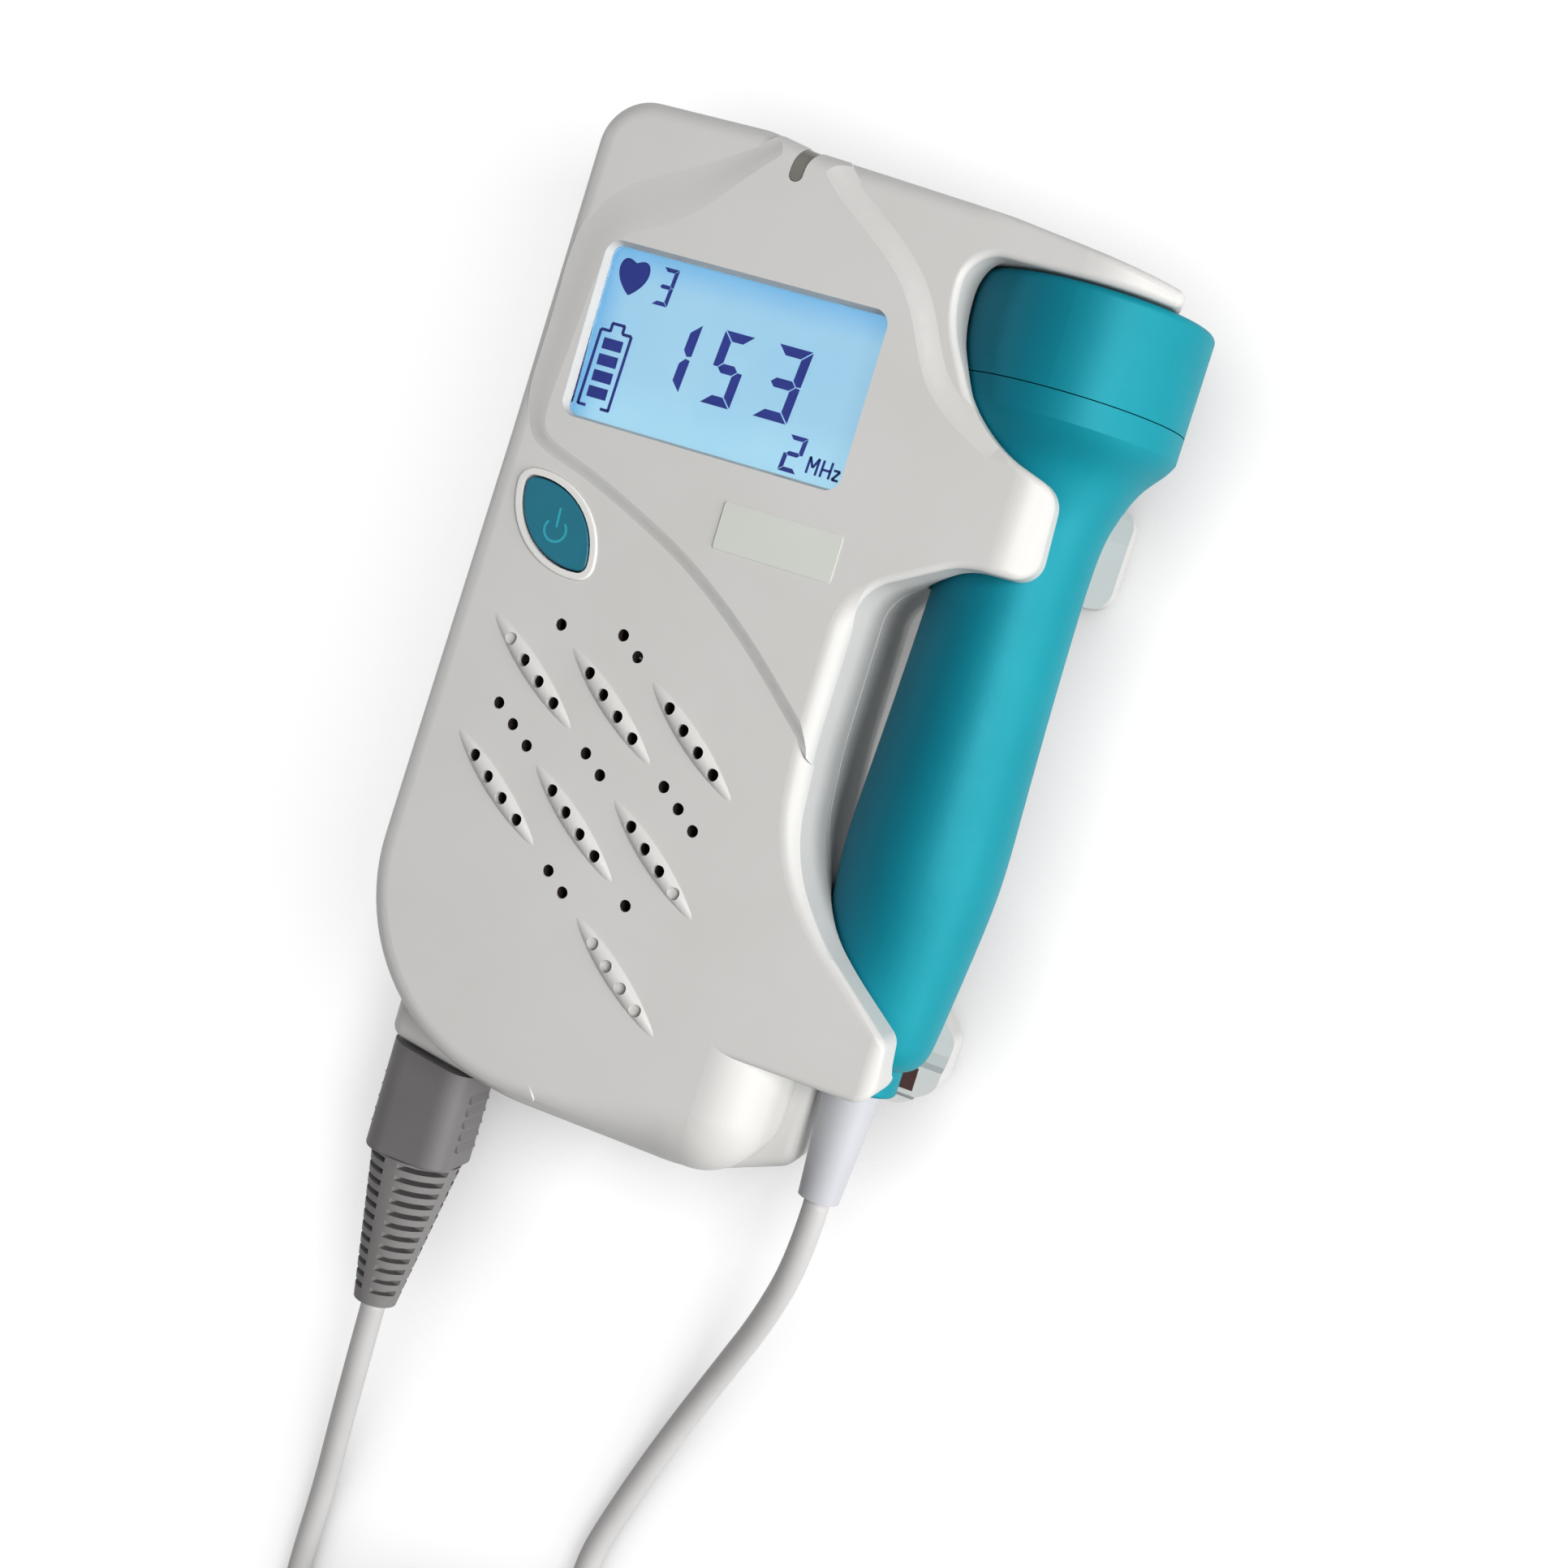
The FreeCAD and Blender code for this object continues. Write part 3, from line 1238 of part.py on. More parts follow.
# ---------------------------------------------------------------- cord
probe_cord_points = [(probe_x, sleeve_low, probe_z), (43.6, -79.5, 16.6), (40.4, -91.5, 11.8),
                     (35.6, -103.5, 6.6), (30.6, -116.5, 2.9), (26.2, -130.0, floor_line),
                     (22.8, -143.0, floor_line), (25.0, -154.5, floor_line),
                     (32.5, -163.5, floor_line), (39.0, -173.5, floor_line),
                     (coil_x + coil_out + cord_r + 0.6, coil_y, floor_line)]
plug_cord_points = [(plug_x, boot_end, plug_z), (-18.9, boot_end - 9.0, 10.2), (-20.3, -134.0, 6.2),
                    (-21.4, -148.0, 2.4), (-21.9, -161.0, floor_line), (-21.4, -173.5, floor_line),
                    (coil_x - coil_out - cord_r - 0.4, coil_y, floor_line)]


def cord_coil():
    """The outer form of the cord's put-away length, wound in a ring."""
    return ring_z(coil_x, coil_y, coil_out, coil_in, coil_base, coil_base + coil_height)


def coil_tie():
    """A strap round the ring that holds its turns together."""
    low = coil_y - coil_out - 0.1
    high = coil_y - math.sqrt(coil_in ** 2 - (strap_w / 2) ** 2) + 0.1
    top = coil_base + coil_height + 0.1
    outer = box(coil_x - strap_w / 2, coil_x + strap_w / 2, low - strap_t, high + strap_t,
                0.0, top + strap_t)
    return outer.cut(box(coil_x - strap_w, coil_x + strap_w, low, high, strap_t, top))


# ---------------------------------------------------------------- write the parts
def write(name, shape):
    solids = shape.Solids
    closed = all(s.isValid() and s.isClosed() for s in solids)
    low = shape.optimalBoundingBox(False)
    print("%-16s %d solid(s) %s  volume %9.1f  X %.1f %.1f  Y %.1f %.1f  Z %.1f %.1f" % (
        name, len(solids), "ok" if closed else "BAD", shape.Volume, low.XMin, low.XMax,
        low.YMin, low.YMax, low.ZMin, low.ZMax))
    shape.exportStep("parts/" + name + ".step")


def main():
    os.makedirs("parts", exist_ok=True)
    makers = [front_case, rear_case, battery_door, case_screws, screen_window, lcd_frame,
              main_board, board_chips, speaker_frame, speaker_cone, speaker_magnet, grille_cloth,
              power_button, button_rim, power_switch, volume_wheel, volume_pot, earphone_jack,
              indicator_lens, indicator_led, label_plate, rear_label, contact_springs,
              contact_plates, probe_handle, probe_cap, acoustic_face, crystals, crystal_backing,
              probe_seal, probe_board, probe_tail, cable_sleeve, probe_socket, plug_sleeve,
              plug_pins, plug_shell, plug_boot, cord_coil, coil_tie]
    for maker in makers:
        write(maker.__name__, maker())
    write("lcd_panel", lcd_layer(lcd_top, lcd_t))
    write("lcd_backlight", lcd_layer(light_top, light_t))
    write("battery_1", battery(-1))
    write("battery_2", battery(1))
    write("tail_pad", tail_pad_block(0.05, 0.2))
    write("probe_cord", cord_tube("probe cord", probe_cord_points, cord_r))
    write("plug_cord", cord_tube("plug cord", plug_cord_points, cord_r))


main()
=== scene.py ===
"""Looks of the fetal doppler monitor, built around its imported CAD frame."""
import math

import bpy
import bmesh
from mathutils import Matrix, Vector


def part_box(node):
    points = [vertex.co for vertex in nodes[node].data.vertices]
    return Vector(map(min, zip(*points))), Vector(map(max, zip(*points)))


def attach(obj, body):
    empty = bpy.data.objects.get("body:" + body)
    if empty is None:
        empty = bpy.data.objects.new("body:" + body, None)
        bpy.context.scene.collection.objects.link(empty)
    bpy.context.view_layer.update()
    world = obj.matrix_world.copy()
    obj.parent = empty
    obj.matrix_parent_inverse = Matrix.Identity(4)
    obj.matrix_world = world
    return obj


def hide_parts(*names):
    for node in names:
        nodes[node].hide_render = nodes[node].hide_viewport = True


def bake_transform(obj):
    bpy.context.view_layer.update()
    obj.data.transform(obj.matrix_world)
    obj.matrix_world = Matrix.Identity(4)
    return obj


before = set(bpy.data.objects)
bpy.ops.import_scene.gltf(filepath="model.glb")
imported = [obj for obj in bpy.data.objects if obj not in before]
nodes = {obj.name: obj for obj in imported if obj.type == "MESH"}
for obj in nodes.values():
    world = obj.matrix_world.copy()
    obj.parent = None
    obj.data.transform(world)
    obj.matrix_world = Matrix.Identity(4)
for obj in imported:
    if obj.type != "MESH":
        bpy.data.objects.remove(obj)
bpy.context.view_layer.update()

MM = 0.001


# ---------------------------------------------------------------- colours
def srgb(red, green, blue):
    """A colour of 0..255 display values as linear numbers."""
    linear = []
    for value in (red, green, blue):
        part = value / 255
        linear.append(part / 12.92 if part <= 0.04045 else ((part + 0.055) / 1.055) ** 2.4)
    return (linear[0], linear[1], linear[2], 1.0)


CASE = srgb(210, 209, 207)
CASE_WARM = srgb(206, 205, 202)
TEAL = srgb(13, 140, 154)
TEAL_DEEP = srgb(10, 132, 147)
# painted shade for the probe's side towards the case
TEAL_PAINTED_SHADE = srgb(9, 106, 130)
TEAL_SHINE = (0.45, 0.9, 1.0, 1.0)
KEY_TEAL = srgb(40, 120, 142)
SYMBOL_TEAL = srgb(54, 168, 184)
# painted shade for the inside of the grille's holes
HOLE_PAINTED_SHADE = srgb(62, 53, 50)
RIM_WHITE = srgb(228, 227, 224)
DISPLAY_BLUE = srgb(160, 207, 232)
DISPLAY_CYAN = srgb(170, 220, 242)
DISPLAY_EDGE = srgb(118, 184, 230)
FIGURE_BLUE = srgb(15, 35, 122)
PLUG_GREY = srgb(114, 111, 112)
BOOT_GREY = srgb(130, 127, 127)
CORD_GREY = srgb(198, 196, 195)
SLEEVE_GREY = srgb(190, 191, 196)
# dark brown that copies the shade in the gap between the probe's tail and the lower finger
PAD_SHADE_BROWN = srgb(74, 44, 40)
LABEL_PALE = srgb(214, 216, 210)


# ---------------------------------------------------------------- material helpers
def maths(tree, operation, *values):
    """A maths node fed with numbers or sockets, as its result socket."""
    node = tree.nodes.new("ShaderNodeMath")
    node.operation = operation
    for socket, value in zip(node.inputs, values):
        if isinstance(value, (int, float)):
            socket.default_value = value
        else:
            tree.links.new(value, socket)
    return node.outputs[0]


class Nodes:
    """A short way to build one material's node tree."""

    def __init__(self, name):
        self.material = bpy.data.materials.new(name)
        self.material.use_nodes = True
        self.tree = self.material.node_tree
        self.shader = self.tree.nodes["Principled BSDF"]
        self.place = self.add("ShaderNodeTexCoord").outputs["Object"]

    @classmethod
    def of(cls, material):
        """The same for a material that exists already."""
        found = cls.__new__(cls)
        found.material = material
        found.tree = material.node_tree
        found.shader = found.tree.nodes["Principled BSDF"]
        found.place = found.add("ShaderNodeTexCoord").outputs["Object"]
        return found

    def colour_source(self):
        return self.shader.inputs["Base Color"].links[0].from_socket

    def add(self, kind, **settings):
        node = self.tree.nodes.new(kind)
        for key, value in settings.items():
            setattr(node, key, value)
        return node

    def link(self, source, target):
        self.tree.links.new(source, target)

    def noise(self, scale, detail=3.0, rough=0.55):
        node = self.add("ShaderNodeTexNoise")
        node.inputs["Scale"].default_value = scale
        node.inputs["Detail"].default_value = detail
        node.inputs["Roughness"].default_value = rough
        self.link(self.place, node.inputs["Vector"])
        return node.outputs["Fac"]

    def ramp(self, source, low, high):
        """From the low colour at 0.3 of the source to the high colour at 0.7."""
        node = self.add("ShaderNodeValToRGB")
        for element, colour, position in zip(node.color_ramp.elements, (low, high), (0.3, 0.7)):
            element.color = colour
            element.position = position
        self.link(source, node.inputs["Fac"])
        return node.outputs["Color"]

    def span(self, source, low, high):
        node = self.add("ShaderNodeMapRange")
        node.inputs["To Min"].default_value = low
        node.inputs["To Max"].default_value = high
        self.link(source, node.inputs["Value"])
        return node.outputs["Result"]

    def inside(self, low, high):
        """One inside the box from low to high, in millimetres of the part's frame, and none outside."""
        split = self.add("ShaderNodeSeparateXYZ")
        self.link(self.place, split.inputs["Vector"])
        tests = []
        for axis, start, end in zip("XYZ", low, high):
            middle = (start + end) / 2 * MM
            reach = (end - start) / 2 * MM
            tests.append(maths(self.tree, "COMPARE", split.outputs[axis], middle, reach))
        return maths(self.tree, "MULTIPLY", maths(self.tree, "MULTIPLY", tests[0], tests[1]), tests[2])

    def mix(self, share, first, second):
        node = self.add("ShaderNodeMix", data_type="RGBA")
        self.link(share, node.inputs["Factor"])
        colours = [socket for socket in node.inputs if socket.type == "RGBA"]
        for socket, value in zip(colours, (first, second)):
            if isinstance(value, tuple):
                socket.default_value = value
            else:
                self.link(value, socket)
        return [socket for socket in node.outputs if socket.type == "RGBA"][0]

    def bump(self, source, distance, strength=1.0, under=None):
        node = self.add("ShaderNodeBump")
        node.inputs["Distance"].default_value = distance
        node.inputs["Strength"].default_value = strength
        self.link(source, node.inputs["Height"])
        if under is not None:
            self.link(under, node.inputs["Normal"])
        return node.outputs["Normal"]

    def set(self, **values):
        for key, value in values.items():
            self.shader.inputs[key.replace("_", " ")].default_value = value


def moulded(name, pale, deep, rough, grain=2600.0, grain_depth=0.012, wave_depth=0.02, specular=0.4):
    """Moulded plastic: slight cloudiness, a fine spark-eroded grain and soft waviness."""
    n = Nodes(name)
    cloud = n.noise(45.0, 4.0)
    n.link(n.ramp(cloud, deep, pale), n.shader.inputs["Base Color"])
    fine = n.noise(grain, 2.0, 0.6)
    n.link(n.span(n.noise(160.0, 3.0), rough - 0.04, rough + 0.05), n.shader.inputs["Roughness"])
    broad = n.bump(n.noise(120.0, 2.0), wave_depth * MM, 0.5)
    n.link(n.bump(fine, grain_depth * MM, 0.6, broad), n.shader.inputs["Normal"])
    n.set(Specular_IOR_Level=specular)
    return n.material


def case_front():
    """The case's plastic, with painted shade inside the grille's holes, where they lead into the unlit case.
    """
    material = moulded("case_front", CASE, CASE_WARM, 0.42)
    n = Nodes.of(material)
    # painted shade: darker inside the grille's holes, below the face
    hole_shade = n.inside((-21.5, -54.5, 20.0), (23.0, 5.5, 33.8))
    n.link(n.mix(hole_shade, n.colour_source(), HOLE_PAINTED_SHADE), n.shader.inputs["Base Color"])
    return material


def teal_with_painted_shade():
    """The probe's plastic: teal with painted shade, bluer and deeper on the side that faces -X, towards the
    case.
    """
    material = moulded("probe_plastic", TEAL, TEAL_DEEP, 0.5, grain=1300.0, grain_depth=0.014, specular=0.3)
    n = Nodes.of(material)
    split = n.add("ShaderNodeSeparateXYZ")
    n.link(n.add("ShaderNodeTexCoord").outputs["Normal"], split.inputs["Vector"])
    # painted shade: the colour turns to the shaded blue as the surface faces -X
    turn = n.add("ShaderNodeMapRange", interpolation_type="SMOOTHSTEP")
    turn.inputs["From Min"].default_value = -0.9
    turn.inputs["From Max"].default_value = 0.75
    n.link(split.outputs["X"], turn.inputs["Value"])
    n.link(n.mix(turn.outputs["Result"], TEAL_PAINTED_SHADE, n.colour_source()), n.shader.inputs["Base Color"])
    n.set(Metallic=0.12, Specular_Tint=TEAL_SHINE)
    return material


def metal(name, colour, rough):
    """Bare metal with fine wear in its colour, gloss and surface."""
    n = Nodes(name)
    n.set(Metallic=1.0)
    streak = n.noise(900.0, 4.0, 0.6)
    worn = tuple(part * 0.86 for part in colour[:3]) + (1.0,)
    n.link(n.ramp(streak, worn, colour), n.shader.inputs["Base Color"])
    n.link(n.span(streak, rough - 0.06, rough + 0.08), n.shader.inputs["Roughness"])
    n.link(n.bump(streak, 0.008 * MM, 0.4), n.shader.inputs["Normal"])
    return n.material


def clear(name, tint):
    """A clear pane with faint smudges in its gloss."""
    n = Nodes(name)
    n.set(Transmission_Weight=1.0, IOR=1.12, Specular_IOR_Level=0.35)
    smudge = n.noise(90.0, 3.0)
    n.link(n.ramp(smudge, tint, srgb(252, 253, 254)), n.shader.inputs["Base Color"])
    n.link(n.span(smudge, 0.015, 0.045), n.shader.inputs["Roughness"])
    return n.material


def lit_display():
    """Back-lit display: blue, more cyan low down and deeper along the upper and left edges."""
    n = Nodes("lit_display")
    low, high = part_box("screen_window")
    split = n.add("ShaderNodeSeparateXYZ")
    n.link(n.place, split.inputs["Vector"])

    def slope(axis, start, end):
        node = n.add("ShaderNodeMapRange", interpolation_type="SMOOTHSTEP")
        node.inputs["From Min"].default_value = start
        node.inputs["From Max"].default_value = end
        n.link(split.outputs[axis], node.inputs["Value"])
        return node.outputs["Result"]

    inward = maths(n.tree, "MULTIPLY", slope("X", low.x + 1.5 * MM, low.x + 6 * MM),
                   slope("Y", high.y - 1.5 * MM, high.y - 7 * MM))
    field = n.mix(slope("Y", low.y + 12 * MM, low.y + 2 * MM), DISPLAY_BLUE, DISPLAY_CYAN)
    n.link(n.mix(inward, DISPLAY_EDGE, field), n.shader.inputs["Emission Color"])
    n.set(Base_Color=srgb(58, 74, 84), Emission_Strength=0.88, Roughness=0.35, Specular_IOR_Level=0.3)
    return n.material


# ---------------------------------------------------------------- materials
case_plastic = moulded("case_plastic", CASE, CASE_WARM, 0.42)
case_front_plastic = case_front()
rim_plastic = moulded("rim_plastic", RIM_WHITE, srgb(224, 223, 220), 0.4)
probe_plastic = teal_with_painted_shade()
key_plastic = moulded("key_plastic", KEY_TEAL, srgb(36, 110, 132), 0.38, grain=2200.0)
symbol_paint = moulded("symbol_paint", SYMBOL_TEAL, srgb(46, 156, 174), 0.42)
plug_plastic = moulded("plug_plastic", PLUG_GREY, srgb(107, 104, 105), 0.48, grain=1700.0, grain_depth=0.02)
boot_rubber = moulded("boot_rubber", BOOT_GREY, srgb(123, 120, 120), 0.55, grain=1500.0, grain_depth=0.02,
                      specular=0.3)
cord_rubber = moulded("cord_rubber", CORD_GREY, srgb(190, 188, 187), 0.46, grain=1500.0, specular=0.35)
sleeve_rubber = moulded("sleeve_rubber", SLEEVE_GREY, srgb(184, 185, 190), 0.45)
# painted shade: the tail pad is a dark piece set where the gap under the probe's tail lies in shade
pad_rubber_shade_brown = moulded("pad_rubber_shade_brown", PAD_SHADE_BROWN, srgb(62, 36, 33), 0.6)
inner_black = moulded("inner_black", srgb(34, 34, 36), srgb(28, 28, 30), 0.5)
label_vinyl = moulded("label_vinyl", LABEL_PALE, srgb(208, 211, 203), 0.3, grain=900.0, grain_depth=0.006)
face_plastic = moulded("face_plastic", srgb(214, 214, 208), srgb(206, 205, 198), 0.25, grain_depth=0.004)
chip_black = moulded("chip_black", srgb(24, 24, 25), srgb(18, 18, 19), 0.6)
board_green = moulded("board_green", srgb(20, 84, 48), srgb(14, 70, 40), 0.35)
cell_jacket = moulded("cell_jacket", srgb(70, 76, 84), srgb(62, 67, 74), 0.25)
ceramic = moulded("ceramic", srgb(196, 184, 150), srgb(186, 172, 138), 0.5)
ferrite = moulded("ferrite", srgb(52, 52, 54), srgb(44, 44, 46), 0.6)
speaker_paper = moulded("speaker_paper", srgb(36, 35, 34), srgb(28, 27, 27), 0.8)
gauze = moulded("gauze", srgb(26, 25, 25), srgb(16, 16, 16), 0.9, grain=1400.0, grain_depth=0.1)
strap_cloth = moulded("strap_cloth", srgb(34, 34, 36), srgb(24, 24, 26), 0.9, grain=1800.0, grain_depth=0.15)
steel = metal("steel", srgb(190, 190, 192), 0.32)
nickel = metal("nickel", srgb(205, 205, 205), 0.2)
gold_flash = metal("gold_flash", srgb(214, 182, 110), 0.25)
window_clear = clear("window_clear", srgb(244, 249, 253))
lens_smoky = moulded("lens_smoky", srgb(128, 125, 120), srgb(112, 109, 104), 0.22, grain_depth=0.004,
                     specular=0.5)
light_guide = moulded("light_guide", srgb(226, 232, 236), srgb(216, 224, 230), 0.4)
display_glass = lit_display()
figure_ink = moulded("figure_ink", FIGURE_BLUE, srgb(13, 30, 108), 0.5)

finishes = {
    case_front_plastic: ["front_case"],
    case_plastic: ["rear_case", "battery_door"],
    rim_plastic: ["button_rim"],
    probe_plastic: ["probe_handle", "probe_cap", "probe_tail"],
    key_plastic: ["power_button"],
    plug_plastic: ["plug_shell"],
    boot_rubber: ["plug_boot"],
    sleeve_rubber: ["cable_sleeve"],
    pad_rubber_shade_brown: ["tail_pad", "probe_seal"],
    inner_black: ["lcd_frame", "power_switch", "volume_pot", "earphone_jack", "volume_wheel",
                  "crystal_backing", "probe_socket"],
    label_vinyl: ["label_plate", "rear_label"],
    face_plastic: ["acoustic_face"],
    chip_black: ["board_chips"],
    board_green: ["main_board", "probe_board"],
    cell_jacket: ["battery_1", "battery_2"],
    ceramic: ["crystals"],
    ferrite: ["speaker_magnet"],
    speaker_paper: ["speaker_cone"],
    gauze: ["grille_cloth"],
    strap_cloth: ["coil_tie"],
    steel: ["case_screws", "speaker_frame", "plug_sleeve"],
    nickel: ["contact_springs", "contact_plates"],
    gold_flash: ["plug_pins"],
    window_clear: ["screen_window"],
    lens_smoky: ["indicator_lens"],
    light_guide: ["lcd_backlight", "indicator_led"],
    display_glass: ["lcd_panel"],
}
for material, names in finishes.items():
    for name in names:
        mesh = nodes[name].data
        mesh.materials.clear()
        mesh.materials.append(material)


# ---------------------------------------------------------------- meshes from outlines
def flat_figures(name, outlines, z, thickness, material, body):
    """One mesh of thin plates, each from an outline of (x, y) points in millimetres."""
    build = bmesh.new()
    for points in outlines:
        ring = [build.verts.new((x * MM, y * MM, z)) for x, y in points]
        face = build.faces.new(ring)
        raised = bmesh.ops.extrude_face_region(build, geom=[face])
        lifted = [item for item in raised["geom"] if isinstance(item, bmesh.types.BMVert)]
        bmesh.ops.translate(build, verts=lifted, vec=(0, 0, thickness))
    bmesh.ops.recalc_face_normals(build, faces=build.faces)
    mesh = bpy.data.meshes.new(name)
    build.to_mesh(mesh)
    build.free()
    mesh.materials.append(material)
    piece = bpy.data.objects.new(name, mesh)
    bpy.context.scene.collection.objects.link(piece)
    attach(piece, body)
    return piece


def stroke(x0, y0, x1, y1, width):
    """A straight stroke with square ends as an outline."""
    length = math.hypot(x1 - x0, y1 - y0)
    side_x = -(y1 - y0) / length * width / 2
    side_y = (x1 - x0) / length * width / 2
    return [(x0 + side_x, y0 + side_y), (x0 - side_x, y0 - side_y),
            (x1 - side_x, y1 - side_y), (x1 + side_x, y1 + side_y)]


SEGMENTS = {"1": "bc", "2": "abged", "3": "abgcd", "5": "afgcd"}
FIGURE_SLANT = 0.085
FIGURE_SHIFT = (-0.33, 0.07)


def digit(character, left, low, width, height, thick, gap=None):
    """A seven-segment figure whose bars meet in mitred joints and lean to the right."""
    half = height / 2
    gap = gap or thick * 0.09
    t = thick
    bars = {
        "a": [(gap, height), (width - gap, height), (width - t - gap, height - t), (t + gap, height - t)],
        "d": [(gap, 0), (width - gap, 0), (width - t - gap, t), (t + gap, t)],
        "b": [(width, height - gap), (width, half + gap), (width - t / 2, half + gap / 2),
              (width - t, half + t / 2 + gap), (width - t, height - t - gap)],
        "c": [(width, gap), (width, half - gap), (width - t / 2, half - gap / 2),
              (width - t, half - t / 2 - gap), (width - t, t + gap)],
        "f": [(0, height - gap), (0, half + gap), (t / 2, half + gap / 2), (t, half + t / 2 + gap),
              (t, height - t - gap)],
        "e": [(0, gap), (0, half - gap), (t / 2, half - gap / 2), (t, half - t / 2 - gap), (t, t + gap)],
        "g": [(t / 2 + gap, half), (t + gap, half + t / 2), (width - t - gap, half + t / 2),
              (width - t / 2 - gap, half), (width - t - gap, half - t / 2), (t + gap, half - t / 2)],
    }
    return [[(left + x + FIGURE_SLANT * y, low + y) for x, y in bars[key]] for key in SEGMENTS[character]]


def heart(cx, cy, width, height):
    """A plump heart with a shallow notch."""
    points = []
    for k in range(48):
        a = 2 * math.pi * k / 48
        x = math.copysign(16 * abs(math.sin(a)) ** 1.75, math.sin(a))
        y = 13 * math.cos(a) - 3.2 * math.cos(2 * a) - 1.2 * math.cos(3 * a) - 0.4 * math.cos(4 * a)
        points.append((cx + x / 32 * width, cy + (y + 2.5) / 27 * height))
    return points


def display_outlines():
    shapes = [heart(-15.6, 44.2, 4.5, 5.1)]
    shapes += digit("3", -12.0, 41.55, 2.3, 5.2, 0.56)
    shapes += digit("1", -9.1, 30.8, 4.4, 10.0, 1.35, 0.28)
    shapes += digit("5", -1.4, 30.7, 4.4, 10.1, 1.3)
    shapes += digit("3", 6.35, 30.87, 5.05, 10.1, 1.3)
    shapes += digit("2", 11.95, 24.9, 2.65, 5.0, 0.62)
    shapes += battery_outlines()
    shapes += unit_outlines()
    return [[(x + FIGURE_SHIFT[0], y + FIGURE_SHIFT[1]) for x, y in outline] for outline in shapes]


def battery_outlines():
    """The battery sign: a case open at the bottom, a nub and four bars."""
    lean = 0.03
    line = 0.42

    def at(x, y):
        return x - 0.2 + lean * (y - 25.6), y + 0.2

    case = [((-16.9, 25.8), (-18.1, 25.8)), ((-18.1, 25.7), (-18.1, 36.3)), ((-18.1, 36.3), (-16.7, 36.3)),
            ((-16.7, 36.2), (-16.7, 37.4)), ((-16.8, 37.4), (-14.8, 37.4)), ((-14.9, 37.4), (-14.9, 36.3)),
            ((-14.9, 36.3), (-13.5, 36.3)), ((-13.5, 36.3), (-13.5, 25.7)), ((-13.4, 25.8), (-14.7, 25.8))]
    shapes = []
    for start, end in case:
        x0, y0 = at(*start)
        x1, y1 = at(*end)
        shapes.append(stroke(x0, y0, x1, y1, line))
    for k in range(4):
        y = 27.1 + 2.25 * k
        x0, y0 = at(-17.25, y + 0.7)
        x1, y1 = at(-14.35, y + 0.7)
        shapes.append(stroke(x0, y0, x1, y1, 1.55))
    return shapes


def unit_outlines():
    """The letters MHz, the unit of the probe's frequency."""
    line = 0.34
    low = 25.5
    top = 27.8
    letters = [((15.9, low), (16.0, top)), ((16.0, top), (16.6, low + 0.9)), ((16.6, low + 0.9), (17.3, top)),
               ((17.3, top), (17.2, low)), ((17.9, low), (18.0, top)), ((19.1, low), (19.2, top)),
               ((17.9, low + 1.05), (19.2, low + 1.05)), ((19.6, low + 1.35), (20.5, low + 1.35)),
               ((20.5, low + 1.35), (19.6, low + 0.1)), ((19.6, low + 0.1), (20.5, low + 0.1))]
    return [stroke(a[0], a[1], b[0], b[1], line) for a, b in letters]


panel_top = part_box("lcd_panel")[1].z
flat_figures("display_figures", display_outlines(), panel_top - 0.01 * MM, 0.05 * MM, figure_ink,
             "root")


def power_symbol():
    """The on/off sign inlaid in the power key: an open ring and a bar."""
    cx, cy, r, line = -15.55, 8.55, 1.6, 0.34
    lean = math.radians(4)
    outlines = []
    steps = 28
    opening = math.radians(48)
    for k in range(steps):
        a = math.pi / 2 + lean + opening + (2 * math.pi - 2 * opening) * k / steps
        b = math.pi / 2 + lean + opening + (2 * math.pi - 2 * opening) * (k + 1) / steps
        outer = r + line / 2
        inner = r - line / 2
        outlines.append([(cx + outer * math.cos(a), cy + outer * math.sin(a)),
                         (cx + outer * math.cos(b), cy + outer * math.sin(b)),
                         (cx + inner * math.cos(b), cy + inner * math.sin(b)),
                         (cx + inner * math.cos(a), cy + inner * math.sin(a))])
    outlines.append(stroke(cx + 0.05, cy + 0.4, cx - 0.1, cy + 3.1, line))
    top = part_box("power_button")[1].z
    return flat_figures("power_symbol", outlines, top - 0.04 * MM, 0.06 * MM, symbol_paint, "power_button")


power_symbol()


# ---------------------------------------------------------------- cord
CORD_D = 3.8
CORD_R = CORD_D / 2 * MM
FLOOR_LINE = 1.95                         # the height of a lead's middle where it lies on the floor
COIL_X, COIL_Y = 10.0, -186.0
COIL_R = 22.5                             # the middle column of turns
COIL_BASE = 0.85                          # the lowest layer's underside
PROBE_JOIN_X, PLUG_JOIN_X = 40.7, -20.7   # where the coil takes over from the two leads
JOIN_LAP = 1.5                            # how far the coil's ends reach into the leads
TURN_STEPS = 16
CHANGE = 0.25                             # the share of a turn in which the lead changes its place
PROBE_ROUTE = [(43.7, -70.3, 17.2), (43.6, -79.5, 16.6), (40.4, -91.5, 11.8), (35.6, -103.5, 6.6),
               (30.6, -116.5, 2.9), (26.2, -130.0, FLOOR_LINE), (22.8, -143.0, FLOOR_LINE),
               (25.0, -154.5, FLOOR_LINE), (32.5, -163.5, FLOOR_LINE), (39.0, -173.5, FLOOR_LINE),
               (PROBE_JOIN_X, COIL_Y, FLOOR_LINE)]
PLUG_ROUTE = [(-18.7, -112.2, 11.0), (-18.9, -121.2, 10.2), (-20.3, -134.0, 6.2), (-21.4, -148.0, 2.4),
              (-21.9, -161.0, FLOOR_LINE), (-21.4, -173.5, FLOOR_LINE), (PLUG_JOIN_X, COIL_Y, FLOOR_LINE)]


